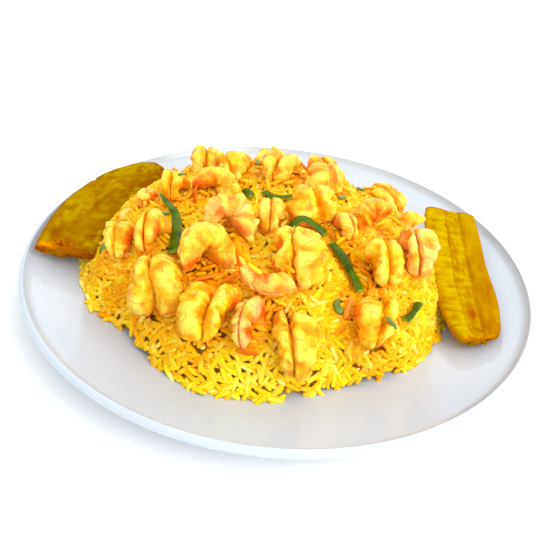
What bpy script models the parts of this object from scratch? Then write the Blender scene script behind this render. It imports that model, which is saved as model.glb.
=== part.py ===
"""Shrimp rice: a heap of yellow rice on a round coupe plate, with curled peeled shrimps set into
it, strips of green pepper laid over it and a slice of fried plantain on either side.

Metres, +Z up. The origin is the middle of the plate's foot, on the table, and the diner sits
at -Y. The tables of pieces give their places in millimetres and their angles in degrees.
"""
import math
from collections import namedtuple

import bmesh
import bpy
from mathutils import Matrix, Vector, noise
from mathutils.bvhtree import BVHTree

MM = 0.001
GAP = 0.3 * MM                # left between pieces that touch
PRESS_GROWTH = 1.5 * GAP      # at the corners, which leaves about the gap at the faces

# Plate
PLATE_RADIUS = 140 * MM
RIM_HEIGHT = 26 * MM
FLOOR_RADIUS = 85 * MM        # the flat middle, before the side starts to rise
FLOOR_HEIGHT = 7.5 * MM
SIDE_CURVE = 1.6              # above 1 the side steepens towards the rim
PLATE_WALL = 4.4 * MM
LIP_RADIUS = 2.2 * MM
LIP_ANGLES = (100, 55, 10, -35, -80)  # from +X, over the top to underneath
SIDE_STEPS = 6
FOOT_DRAFT = 1 * MM
FOOT_INNER_RADIUS = 76 * MM
FOOT_OUTER_RADIUS = 82 * MM
FOOT_DEPTH = 2.4 * MM
PLATE_STEPS = 40

# Heap of rice
HEAP_CENTRE = Vector((-6, 0)) * MM
# Every 22.5 degrees from +X
HEAP_RADII = [radius * MM for radius in
              (101, 101, 102, 99, 97, 103, 109, 108, 105, 103, 94, 100, 101, 95, 100, 102)]
HEAP_EDGE = 3 * MM            # the height of the outermost grains
HEAP_RISE = 41 * MM           # from the edge to the flat crown
HEAP_SHOULDER = 3.3           # a higher power makes a broader crown
HEAP_SLOPE = 0.8              # a lower power makes a steeper side
HEAP_UNEVENNESS = 1.2 * MM
HEAP_LUMP = 18 * MM           # the width of its lumps
HEAP_CELLS = 22               # grid cells across

# Shrimps: the curl lies in an upright plane until it leans; heading turns that plane about Z.
# x, y        the middle of the curl
# rise        how far the middle of the curl lies above the rice
# heading     90 shows the diner the back of the curl, 0 its side
# lean        how far the top of the curl falls away from the diner at heading 0
# start       where the head end lies round the curl, from +X towards the top
# curl        degrees from head end to tail end
# size, width the diameter of the curl, and the spread of the two halves of the opened back
# tail        the length of the tail fan left on, 0 when it is peeled off
Shrimp = namedtuple("Shrimp", "x y rise heading lean start curl size width tail")
SHRIMPS = (
    Shrimp(-34, 27, 6, 95, 0, -20, 215, 25, 24, 0),
    Shrimp(-6, 34, 6, 84, 0, -15, 210, 25, 25, 6),
    Shrimp(21, 28, 6, -84, 0, -15, 210, 24, 22, 0),
    Shrimp(-40, 4, 6, 15, -45, -80, 250, 28, 17, 7),
    Shrimp(-62, 3, 6, 82, 0, -10, 200, 22, 16, 0),
    Shrimp(-78, 3, 3, 70, 0, 0, 190, 14, 11, 0),
    Shrimp(-28, -31, 9, 25, -45, -60, 250, 28, 18, 0),
    Shrimp(-8, -24, 6, 88, 0, -20, 210, 24, 15, 0),
    Shrimp(14, -8, 7, -88, 0, -15, 210, 26, 28, 0),
    Shrimp(32, -20, 5, 110, 0, -15, 210, 18, 12, 0),
    Shrimp(48, -8, 6, 5, -50, 40, 260, 27, 18, 0),
    Shrimp(72, 14, 4, 30, -35, 20, 230, 19, 13, 0),
    Shrimp(71, -22, 8, 92, 0, -20, 220, 31, 22, 0),
    Shrimp(50, -42, 7, 108, 0, -20, 215, 29, 22, 0),
    Shrimp(8, -49.5, 6, -84, 0, -20, 220, 31, 28, 0),
    Shrimp(-4, -60, 13, 170, 70, -145, 105, 37, 12, 7),
    Shrimp(-36, -52, 7, 50, -30, -70, 265, 31, 21, 0),
    Shrimp(-66, -37, 8, 80, 0, -20, 215, 28, 14, 0),
    Shrimp(-82, -35, 6, 100, 0, -15, 205, 24, 15, 0),
    Shrimp(-57, -64, 9, -86, 0, -20, 225, 32, 26, 0),
    Shrimp(-31, -82, 8, 78, -5, -20, 220, 32, 28, 0),
    Shrimp(-11, -84, 5, 75, -20, -20, 220, 27, 12, 6),
    Shrimp(10, -88, 7, 95, 0, -25, 230, 33, 24, 0),
    Shrimp(46, -70, 7, 90, 0, -15, 210, 29, 24, 0),
    Shrimp(-54, 58, 2, -75, 0, -15, 210, 28, 22, 0),
    Shrimp(-14, 74, 2, -95, 0, -15, 210, 28, 24, 0),
    Shrimp(22, 66, 2, -60, 10, -15, 220, 28, 20, 0),
    Shrimp(60, 46, 2, -30, 20, -15, 220, 28, 20, 0),
)
SHRIMP_SECTIONS = 9
SHRIMP_THICKNESS = 0.46       # of the curl's diameter, at the head end
SHRIMP_TAPER = 0.38           # lost from head end to tail end
SHRIMP_SPIRAL = 0.16          # how far the tail end draws inwards
SHRIMP_END = 0.55             # of the full section, at both ends
# Half a section from the cut in the back to the belly: shares of half the width and half the thickness
SHRIMP_HALF_SECTION = ((0.0, 0.4), (0.45, 1.0), (1.0, 0.4), (0.75, -0.6), (0.0, -0.95))
TAIL_FAN_THICKNESS = 1.6 * MM
TAIL_FAN_SPREAD = 9 * MM

# Green pepper strips: each follows its points over the food, width by thickness
Strip = namedtuple("Strip", "width thickness points")
PEPPER_STRIPS = (
    Strip(5, 2.2, ((-67, -9), (-62, -14), (-57, -19), (-54, -30), (-53, -46))),
    Strip(5, 2.2, ((-24, 14), (-22, 10), (-20, 5))),
    Strip(5, 2.2, ((-14, 14), (-9, 10), (-3, 9.5), (3, 12), (9, 16))),
    Strip(5, 2.2, ((2, -34), (3, -29), (5.5, -25.5), (10, -24), (16, -23.8), (22, -24.5))),
    Strip(5, 2.2, ((24, -30), (28, -35), (31, -40), (34, -46), (37, -51), (40, -56))),
    Strip(4, 2.2, ((63, -59), (67, -54), (72, -45))),
)
PEPPER_STATION = 4 * MM       # the distance between sections
PEPPER_LIFT = 0.5 * MM        # clearance over what it lies on
PEPPER_BEARING = 0.7          # the share of its width that rests on the food
PEPPER_SIDES = 6
PEPPER_END = 0.55             # of the width, at the cut ends

# Plantain slices: stations along the middle, with half the width and the two edges' heights
Station = namedtuple("Station", "x y half_width inner outer")
PLANTAIN_THICKNESS = 5.6 * MM
PLANTAIN_LEFT = (
    Station(-115, -28, 14.5, 23, 29),
    Station(-115, -4, 17.5, 24, 30),
    Station(-112, 20, 17.5, 25, 31),
    Station(-105, 44, 16.5, 27, 32),
    Station(-94, 64, 12, 29, 32),
    Station(-87, 72, 6, 30, 31),
)
PLANTAIN_RIGHT = (
    Station(103, -57, 9, 20, 22),
    Station(102, -47, 13.5, 21, 22),
    Station(102, -22, 17, 23, 23),
    Station(103, 8, 17, 25, 24),
    Station(104, 38, 17, 30, 28),
    Station(105, 52, 16, 32, 30),
)
PLANTAIN_STATIONS = 10
# A section from the outer edge round: shares of half the width and of the thickness
PLANTAIN_SECTION = ((1, 0), (0.9, 0.38), (0.45, 0.5), (-0.45, 0.5), (-0.9, 0.38),
                    (-1, 0), (-0.9, -0.38), (-0.45, -0.5), (0.45, -0.5), (0.9, -0.38))

RICE_YELLOW = (0.86, 0.60, 0.04, 1)
SHRIMP_YELLOW = (0.90, 0.58, 0.14, 1)
PEPPER_GREEN = (0.07, 0.22, 0.02, 1)
PLANTAIN_GOLD = (0.70, 0.42, 0.02, 1)
GLAZE_WHITE = (0.88, 0.88, 0.87, 1)


def clear_scene():
    for item in list(bpy.data.objects):
        bpy.data.objects.remove(item, do_unlink=True)


def new_collection(name):
    collection = bpy.data.collections.new(name)
    bpy.context.scene.collection.children.link(collection)
    return collection


def new_material(name, colour, roughness):
    material = bpy.data.materials.new(name)
    material.use_nodes = True
    shader = material.node_tree.nodes["Principled BSDF"]
    shader.inputs["Base Color"].default_value = colour
    shader.inputs["Roughness"].default_value = roughness
    shader.inputs["Metallic"].default_value = 0.0
    return material


def add_object(name, mesh, collection, material=None):
    item = bpy.data.objects.new(name, mesh)
    collection.objects.link(item)
    if material:
        mesh.materials.append(material)
    return item


def loft(name, rings):
    """A closed body through rings of equally many points, each end closed by a pole in its middle."""
    cage = bmesh.new()
    rows = [[cage.verts.new(point) for point in ring] for ring in rings]
    count = len(rows[0])
    for lower, upper in zip(rows, rows[1:]):
        for i in range(count):
            cage.faces.new((lower[i], lower[(i + 1) % count], upper[(i + 1) % count], upper[i]))
    for row in (rows[0], rows[-1]):
        pole = cage.verts.new(sum((vert.co for vert in row), Vector()) / count)
        for i in range(count):
            cage.faces.new((row[i], row[(i + 1) % count], pole))
    bmesh.ops.triangulate(cage, faces=cage.faces, quad_method="FIXED")
    bmesh.ops.recalc_face_normals(cage, faces=cage.faces)
    mesh = bpy.data.meshes.new(name)
    cage.to_mesh(mesh)
    cage.free()
    mesh.shade_smooth()
    return mesh


def add_piece(name, mesh, material, parts, presses, matrix=Matrix()):
    """Adds a piece of food, and a copy grown by the gap that will be pressed out of the rice."""
    add_object(name, mesh, parts, material).matrix_world = matrix
    cage = bmesh.new()
    cage.from_mesh(mesh)
    for vert in cage.verts:
        vert.co += vert.normal * PRESS_GROWTH
    grown = bpy.data.meshes.new(f"press_{name}")
    cage.to_mesh(grown)
    cage.free()
    add_object(f"press_{name}", grown, presses).matrix_world = matrix


def smooth_values(values, position):
    """A Catmull-Rom curve through the values, read at a position between 0 and 1."""
    last = len(values) - 1
    step = min(int(position * last), last - 1)
    t = position * last - step
    before = values[max(step - 1, 0)]
    start = values[step]
    end = values[step + 1]
    after = values[min(step + 2, last)]
    return 0.5 * (2 * start + (end - before) * t + (2 * before - 5 * start + 4 * end - after) * t ** 2
                  + (3 * start - before - 3 * end + after) * t ** 3)


# Plate

def plate_top(radius):
    """The height of the plate's upper face at a radius."""
    rise = max(0.0, (radius - FLOOR_RADIUS) / (PLATE_RADIUS - FLOOR_RADIUS))
    return FLOOR_HEIGHT + (RIM_HEIGHT - LIP_RADIUS / 2 - FLOOR_HEIGHT) * min(rise, 1.0) ** SIDE_CURVE


def plate_profile():
    """Radius and height from the middle of the upper face, over the lip, to the middle underneath."""
    side_end = PLATE_RADIUS - 1.7 * LIP_RADIUS
    side = [FLOOR_RADIUS + (side_end - FLOOR_RADIUS) * i / SIDE_STEPS for i in range(SIDE_STEPS + 1)]
    upper = [(0, FLOOR_HEIGHT)] + [(radius, plate_top(radius)) for radius in side]
    lip_centre = (PLATE_RADIUS - LIP_RADIUS, RIM_HEIGHT - LIP_RADIUS)
    lip = [(lip_centre[0] + LIP_RADIUS * math.cos(math.radians(angle)),
            lip_centre[1] + LIP_RADIUS * math.sin(math.radians(angle))) for angle in LIP_ANGLES]
    under = [(radius, plate_top(radius) - PLATE_WALL) for radius in side[-2::-2]]
    foot = [(FOOT_OUTER_RADIUS + FOOT_DRAFT, FOOT_DEPTH), (FOOT_OUTER_RADIUS, 0),
            (FOOT_INNER_RADIUS, 0), (FOOT_INNER_RADIUS - FOOT_DRAFT, FOOT_DEPTH), (0, FOOT_DEPTH)]
    return upper + lip + under + foot


def make_plate(collection):
    profile = bpy.data.meshes.new("plate")
    points = [(radius, 0, height) for radius, height in plate_profile()]
    profile.from_pydata(points, [(i, i + 1) for i in range(len(points) - 1)], [])
    plate = add_object("plate", profile, collection, new_material("plate", GLAZE_WHITE, 0.15))
    turn = plate.modifiers.new("turn", "SCREW")
    turn.steps = PLATE_STEPS
    turn.render_steps = PLATE_STEPS
    turn.use_merge_vertices = True
    turn.merge_threshold = 0.0001
    turn.use_smooth_shade = True
    return plate


# Heap of rice

def heap_outline(angle):
    """The heap's radius in a direction, on a smooth closed curve through HEAP_RADII."""
    count = len(HEAP_RADII)
    position = (angle / (2 * math.pi) * count) % count
    step = int(position)
    near = [HEAP_RADII[(step + i) % count] for i in (-1, 0, 1, 2)]
    return smooth_values(near, (1 + position - step) / 3)


def heap_surface(x, y):
    """The height of the rice before anything is pressed into it."""
    across = Vector((x, y)) - HEAP_CENTRE
    share = min(across.length / heap_outline(math.atan2(across.y, across.x)), 1.0)
    dome = (1 - share ** HEAP_SHOULDER) ** HEAP_SLOPE
    lumps = HEAP_UNEVENNESS * dome * noise.noise(Vector((x, y, 0)) / HEAP_LUMP)
    return plate_top(math.hypot(x, y)) + HEAP_EDGE + HEAP_RISE * dome + lumps


def square_to_disc(u, v):
    """Maps the square from -1 to 1 onto the unit disc with cells of nearly equal area."""
    if abs(u) > abs(v):
        return Vector((math.cos(math.pi / 4 * v / u), math.sin(math.pi / 4 * v / u))) * u
    if v:
        return Vector((math.sin(math.pi / 4 * u / v), math.cos(math.pi / 4 * u / v))) * v
    return Vector((0, 0))


def make_heap(collection):
    cage = bmesh.new()
    bmesh.ops.create_grid(cage, x_segments=HEAP_CELLS, y_segments=HEAP_CELLS, size=1)
    for vert in cage.verts:
        disc = square_to_disc(vert.co.x, vert.co.y)
        radius = disc.length * heap_outline(math.atan2(disc.y, disc.x))
        place = HEAP_CENTRE + disc.normalized() * radius
        vert.co = (place.x, place.y, heap_surface(place.x, place.y))
    rim = [edge for edge in cage.edges if edge.is_boundary]
    for step in ("side", "floor"):
        made = bmesh.ops.extrude_edge_only(cage, edges=rim)["geom"]
        rim = [item for item in made if isinstance(item, bmesh.types.BMEdge)]
        for vert in {vert for edge in rim for vert in edge.verts}:
            place = Vector(vert.co[:2])
            if step == "floor":
                place *= min(1.0, FLOOR_RADIUS / place.length)
            vert.co = (place.x, place.y, plate_top(place.length) + GAP)
    bmesh.ops.contextual_create(cage, geom=rim)
    bmesh.ops.triangulate(cage, faces=cage.faces)
    bmesh.ops.recalc_face_normals(cage, faces=cage.faces)
    mesh = bpy.data.meshes.new("rice_heap")
    cage.to_mesh(mesh)
    cage.free()
    return add_object("rice_heap", mesh, collection, new_material("rice_heap", RICE_YELLOW, 0.6))


def press_into(heap, presses):
    """Cuts the room of every pressed piece out of the heap."""
    cut = heap.modifiers.new("pressed", "BOOLEAN")
    cut.operation = "DIFFERENCE"
    cut.operand_type = "COLLECTION"
    cut.collection = presses


# Shrimps

def shrimp_section(shrimp, t, thickness, width):
    """One section of the body at t along the curl: two full halves with the cut between them."""
    angle = math.radians(shrimp.start + shrimp.curl * t)
    outer = shrimp.size / 2 * MM * (1 - SHRIMP_SPIRAL * t)
    outward = Vector((math.cos(angle), 0, math.sin(angle)))
    middle = outward * (outer - thickness / 2)
    half = [(across * width / 2, up * thickness / 2) for across, up in SHRIMP_HALF_SECTION]
    whole = half + [(-across, up) for across, up in reversed(half[1:-1])]
    return [middle + outward * up + Vector((0, across, 0)) for across, up in whole]


def shrimp_mesh(shrimp, name):
    """A curled body, full at the head end and slim at the tail, with the tail fan where it is left on."""
    stations = []
    for i in range(SHRIMP_SECTIONS):
        t = i / (SHRIMP_SECTIONS - 1)
        blunt = SHRIMP_END + (1 - SHRIMP_END) * (1 - abs(2 * t - 1) ** 5) ** 0.5
        slim = (1 - SHRIMP_TAPER * t) * blunt
        stations.append((t, SHRIMP_THICKNESS * shrimp.size * MM * slim, shrimp.width * MM * slim))
    if shrimp.tail:
        reach = shrimp.tail / (shrimp.size / 2 * math.radians(shrimp.curl))
        stations.append((1 + reach, TAIL_FAN_THICKNESS, TAIL_FAN_SPREAD))
    return loft(name, [shrimp_section(shrimp, *station) for station in stations])


def shrimp_matrix(shrimp):
    height = heap_surface(shrimp.x * MM, shrimp.y * MM) + shrimp.rise * MM
    place = Matrix.Translation((shrimp.x * MM, shrimp.y * MM, height))
    heading = Matrix.Rotation(math.radians(shrimp.heading), 4, "Z")
    lean = Matrix.Rotation(math.radians(shrimp.lean), 4, "X")
    return place @ heading @ lean


def make_shrimps(parts, presses):
    material = new_material("shrimp", SHRIMP_YELLOW, 0.35)
    for number, shrimp in enumerate(SHRIMPS, 1):
        name = f"shrimp_{number:02d}"
        add_piece(name, shrimp_mesh(shrimp, name), material, parts, presses, shrimp_matrix(shrimp))


# Plantain slices

def plantain_mesh(name, stations, side):
    """A slice cut lengthwise: flat with rounded edges, blunt at both ends, lying along its stations."""
    columns = [[station[k] * MM for station in stations] for k in range(len(Station._fields))]
    rings = []
    for i in range(PLANTAIN_STATIONS):
        t = i / (PLANTAIN_STATIONS - 1)
        x, y, half, inner, outer = (smooth_values(column, t) for column in columns)
        ahead, behind = min(t + 0.01, 1), max(t - 0.01, 0)
        beyond = Vector([smooth_values(column, ahead) for column in columns[:2]])
        before = Vector([smooth_values(column, behind) for column in columns[:2]])
        along = beyond - before
        across = Vector((along.y, -along.x)).normalized() * side
        ring = []
        for share, level in PLANTAIN_SECTION:
            spot = Vector((x, y)) + across * share * half
            height = inner + (outer - inner) * (share + 1) / 2
            ring.append(Vector((spot.x, spot.y, height + level * PLANTAIN_THICKNESS)))
        rings.append(ring)
    return loft(name, rings)


def make_plantains(parts, presses):
    material = new_material("plantain", PLANTAIN_GOLD, 0.4)
    slices = (("plantain_left", PLANTAIN_LEFT, -1), ("plantain_right", PLANTAIN_RIGHT, 1))
    for name, stations, side in slices:
        add_piece(name, plantain_mesh(name, stations, side), material, parts, presses)


# Pepper strips

def top_of_food(trees, x, y):
    """The height of the highest food under a point, the rice included."""
    heights = [heap_surface(x, y)]
    for tree in trees:
        hit = tree.ray_cast(Vector((x, y, 1)), Vector((0, 0, -1)))[0]
        if hit:
            heights.append(hit.z)
    return max(heights)


def taut(heights):
    """The heights of a stiff strip that rests on the highest of the heights along it."""
    count = len(heights)
    result = list(heights)
    for a in range(count):
        for b in range(a + 2, count):
            for k in range(a + 1, b):
                level = heights[a] + (heights[b] - heights[a]) * (k - a) / (b - a)
                result[k] = max(result[k], level)
    return result


def strip_path(strip, trees):
    """Points along a strip that lies on the food, each with its direction across."""
    points = [Vector(point) * MM for point in strip.points]
    length = sum((b - a).length for a, b in zip(points, points[1:]))
    count = max(4, round(length / PEPPER_STATION))
    places = []
    heights = []
    for i in range(count + 1):
        t = i / count
        here = smooth_values(points, t)
        beyond, before = smooth_values(points, min(t + 0.02, 1)), smooth_values(points, max(t - 0.02, 0))
        along = (beyond - before).normalized()
        across = Vector((-along.y, along.x))
        reach = [k / 2 * strip.width * MM * PEPPER_BEARING for k in (-2, -1, 0, 1, 2)]
        ahead = [k * PEPPER_STATION / 6 for k in (-3, -2, -1, 0, 1, 2, 3)]
        places.append((here, across))
        spots = [here + across * a + along * b for a in reach for b in ahead]
        heights.append(max(top_of_food(trees, *spot) for spot in spots))
    lift = PEPPER_LIFT + strip.thickness / 2 * MM
    return [(Vector((here.x, here.y, height + lift)), across)
            for (here, across), height in zip(places, taut(heights))]


def strip_mesh(name, strip, path):
    """A bent strip of six sides, drawn in at both ends."""
    rings = []
    for i, (middle, across) in enumerate(path):
        end = PEPPER_END if i in (0, len(path) - 1) else 1.0
        aside = Vector((across.x, across.y, 0)) * (strip.width / 2 * MM * end)
        up = Vector((0, 0, strip.thickness / 2 * MM))
        turns = [math.tau * k / PEPPER_SIDES for k in range(PEPPER_SIDES)]
        rings.append([middle + aside * math.cos(turn) + up * math.sin(turn) for turn in turns])
    return loft(name, rings)


def make_peppers(parts, presses):
    material = new_material("pepper", PEPPER_GREEN, 0.25)
    trees = []
    for item in parts.objects:
        if item.name.startswith(("shrimp", "plantain")):
            corners = [item.matrix_world @ vert.co for vert in item.data.vertices]
            trees.append(BVHTree.FromPolygons(corners, [face.vertices for face in item.data.polygons]))
    for number, strip in enumerate(PEPPER_STRIPS, 1):
        name = f"pepper_strip_{number:02d}"
        add_piece(name, strip_mesh(name, strip, strip_path(strip, trees)), material, parts, presses)


def main():
    clear_scene()
    parts = new_collection("shrimp_rice")
    presses = new_collection("presses")
    make_plate(parts)
    heap = make_heap(parts)
    make_shrimps(parts, presses)
    make_plantains(parts, presses)
    bpy.context.view_layer.update()
    make_peppers(parts, presses)
    press_into(heap, presses)
    for item in presses.objects:
        item.hide_render = True
        item.display_type = "WIRE"


main()
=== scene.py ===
import math
from collections import namedtuple

import bpy
import numpy as np
from mathutils import Matrix, Vector, noise
from mathutils.bvhtree import BVHTree


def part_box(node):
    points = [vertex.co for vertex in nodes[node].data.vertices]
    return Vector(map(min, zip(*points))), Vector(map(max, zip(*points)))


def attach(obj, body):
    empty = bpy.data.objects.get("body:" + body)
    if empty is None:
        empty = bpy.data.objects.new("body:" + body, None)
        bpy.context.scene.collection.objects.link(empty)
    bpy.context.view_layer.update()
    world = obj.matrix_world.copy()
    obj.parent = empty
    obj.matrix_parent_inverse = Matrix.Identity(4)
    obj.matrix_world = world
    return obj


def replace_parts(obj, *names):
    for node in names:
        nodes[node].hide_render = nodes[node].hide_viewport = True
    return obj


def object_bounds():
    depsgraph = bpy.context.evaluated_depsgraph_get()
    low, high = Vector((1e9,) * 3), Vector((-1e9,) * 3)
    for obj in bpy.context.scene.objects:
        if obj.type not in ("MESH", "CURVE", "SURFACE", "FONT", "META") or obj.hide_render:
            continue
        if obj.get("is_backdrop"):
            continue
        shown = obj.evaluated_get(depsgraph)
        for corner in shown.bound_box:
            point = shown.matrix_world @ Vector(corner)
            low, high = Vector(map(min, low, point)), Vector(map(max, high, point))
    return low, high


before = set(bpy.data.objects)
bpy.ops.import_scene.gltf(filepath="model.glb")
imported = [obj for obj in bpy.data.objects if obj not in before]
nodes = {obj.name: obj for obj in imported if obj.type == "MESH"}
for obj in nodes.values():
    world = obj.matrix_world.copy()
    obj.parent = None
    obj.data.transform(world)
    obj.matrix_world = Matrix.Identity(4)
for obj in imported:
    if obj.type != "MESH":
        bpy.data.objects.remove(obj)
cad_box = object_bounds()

MM = 0.001
UP = np.array((0.0, 0.0, 1.0))
ABOVE_FOOD = 0.2


# ---------------------------------------------------------------- helpers

def linear(red, green, blue):
    """A colour given as 0 to 255 display values, as linear values with alpha."""
    shares = [value / 255 for value in (red, green, blue)]
    return tuple(s / 12.92 if s < 0.04045 else ((s + 0.055) / 1.055) ** 2.4 for s in shares) + (1.0,)


def smoothstep(low, high, value):
    share = np.clip((value - low) / (high - low), 0, 1)
    return share * share * (3 - 2 * share)


def unit(vectors):
    return vectors / np.maximum(np.linalg.norm(vectors, axis=-1, keepdims=True), 1e-12)


def stacked(*parts):
    """Points or tones from arrays that may differ in shape."""
    return np.stack(np.broadcast_arrays(*parts), -1)


def spline(values, positions):
    """A Catmull-Rom curve through rows of values, read at positions from 0 to 1."""
    rows = np.asarray(values, float)
    flat = rows.ndim == 1
    rows = rows.reshape(len(rows), -1)
    last = len(rows) - 1
    places = np.clip(np.asarray(positions, float), 0, 1) * last
    step = np.minimum(places.astype(int), last - 1)
    t = (places - step)[..., None]
    p0, p1 = rows[np.maximum(step - 1, 0)], rows[step]
    p2, p3 = rows[step + 1], rows[np.minimum(step + 2, last)]
    found = 0.5 * (2 * p1 + (p2 - p0) * t + (2 * p0 - 5 * p1 + 4 * p2 - p3) * t ** 2
                   + (3 * p1 - p0 - 3 * p2 + p3) * t ** 3)
    return found[..., 0] if flat else found


def lumps(points, size, seed=0.0):
    """Smooth noise from -1 to 1 at each point, with lumps of about that size."""
    flat = np.asarray(points, float).reshape(-1, 3) / size + seed
    values = np.array([noise.noise(Vector(row)) for row in flat])
    return values.reshape(np.asarray(points).shape[:-1])


def tree_of(node):
    mesh = nodes[node].data
    return BVHTree.FromPolygons([v.co for v in mesh.vertices], [p.vertices for p in mesh.polygons])


def top_at(tree, x, y):
    """The height of a solid's top over a place, or nan beside it."""
    hit = tree.ray_cast(Vector((x, y, ABOVE_FOOD)), Vector((0, 0, -1)))[0]
    return hit.z if hit else math.nan


def box_centre(node):
    low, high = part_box(node)
    return np.array((low + high) / 2)


def add_object(name, content):
    made = bpy.data.objects.new(name, content)
    bpy.context.scene.collection.objects.link(made)
    return made


def add_piece(name, mesh, material):
    """A piece of food or the plate, made of a mesh."""
    mesh.shade_smooth()
    mesh.materials.append(material)
    piece = add_object(name, mesh)
    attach(piece, "root")
    return piece


def ring_bodies(name, rings, poles, material, tones=None, pole_tones=None, places=None):
    """One mesh of closed bodies. rings: (bodies, rings, sides, 3), poles: (bodies, 2, 3); tones alike.

    places, like rings, are where each point lies on the body's own skin, for textures that follow it."""
    bodies, rows, sides = rings.shape[:3]
    per = rows * sides + 2
    verts = np.concatenate([rings.reshape(bodies, rows * sides, 3), poles], 1)
    r, s = (grid.ravel() for grid in np.meshgrid(np.arange(rows - 1), np.arange(sides), indexing="ij"))
    turn = (s + 1) % sides
    quads = np.stack([r * sides + s, r * sides + turn, (r + 1) * sides + turn, (r + 1) * sides + s], 1)
    quad_uv = np.stack([np.stack([s, s + 1, s + 1, s], 1) / sides,
                        np.stack([r + 1, r + 1, r + 2, r + 2], 1) / (rows + 1)], -1)
    k = np.arange(sides)
    after = (k + 1) % sides
    last = (rows - 1) * sides
    caps = np.concatenate([np.stack([np.full(sides, rows * sides), after, k], 1),
                           np.stack([np.full(sides, rows * sides + 1), last + k, last + after], 1)])
    cap_u = np.concatenate([np.stack([k + 0.5, k + 1, k], 1), np.stack([k + 0.5, k, k + 1], 1)]) / sides
    cap_v = np.concatenate([np.tile([0, 1, 1], (sides, 1)), np.tile([rows + 1, rows, rows], (sides, 1))])
    cap_uv = np.stack([cap_u, cap_v / (rows + 1)], -1)
    corner = np.concatenate([quads.ravel(), caps.ravel()])
    local_uv = np.concatenate([quad_uv.reshape(-1, 2), cap_uv.reshape(-1, 2)])
    sizes = np.concatenate([np.full(len(quads), 4), np.full(len(caps), 3)])
    starts = np.concatenate([[0], np.cumsum(sizes)[:-1]])

    across = math.ceil(math.sqrt(bodies))
    body = np.arange(bodies)
    cells = np.stack([body % across, body // across], 1)
    uv = (cells[:, None] + 0.06 + 0.88 * local_uv[None]) / across

    mesh = bpy.data.meshes.new(name)

    def fill(collection, field, values, kind=np.float32):
        collection.foreach_set(field, values.astype(kind).ravel())

    mesh.vertices.add(bodies * per)
    fill(mesh.vertices, "co", verts)
    mesh.loops.add(bodies * len(corner))
    mesh.polygons.add(bodies * len(sizes))
    fill(mesh.polygons, "loop_start", body[:, None] * len(corner) + starts, np.int32)
    fill(mesh.polygons, "vertices", body[:, None] * per + corner, np.int32)
    mesh.update(calc_edges=True)
    fill(mesh.uv_layers.new(name="OFBake").uv, "vector", uv)
    if tones is not None:
        whole = np.concatenate([tones.reshape(bodies, rows * sides, 4), pole_tones], 1)
        fill(mesh.attributes.new("tone", "FLOAT_COLOR", "POINT").data, "color", whole)
    if places is not None:
        ends = np.stack([places[:, 0].mean(1), places[:, -1].mean(1)], 1)
        whole = np.concatenate([places.reshape(bodies, rows * sides, 3), ends], 1)
        fill(mesh.attributes.new("place", "FLOAT_VECTOR", "POINT").data, "vector", whole)
    a, b, c = (verts[0][quads[:, i]] for i in (0, 1, 2))
    if np.einsum("ij,ij->i", np.cross(b - a, c - a), a - verts[0].mean(0)).sum() < 0:
        mesh.flip_normals()
    return add_piece(name, mesh, material)


def one_body(name, node, points, material, tones, skin=None):
    """A closed body in place of a node, from the points round it, ring by ring, closed at the middles of its ends."""
    def ends(values):
        return np.stack([values[0].mean(0), values[-1].mean(0)])[None]

    piece = ring_bodies(name, points[None], ends(points), material, tones[None], ends(tones),
                        None if skin is None else skin[None])
    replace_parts(piece, node)


# ---------------------------------------------------------------- materials

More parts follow.
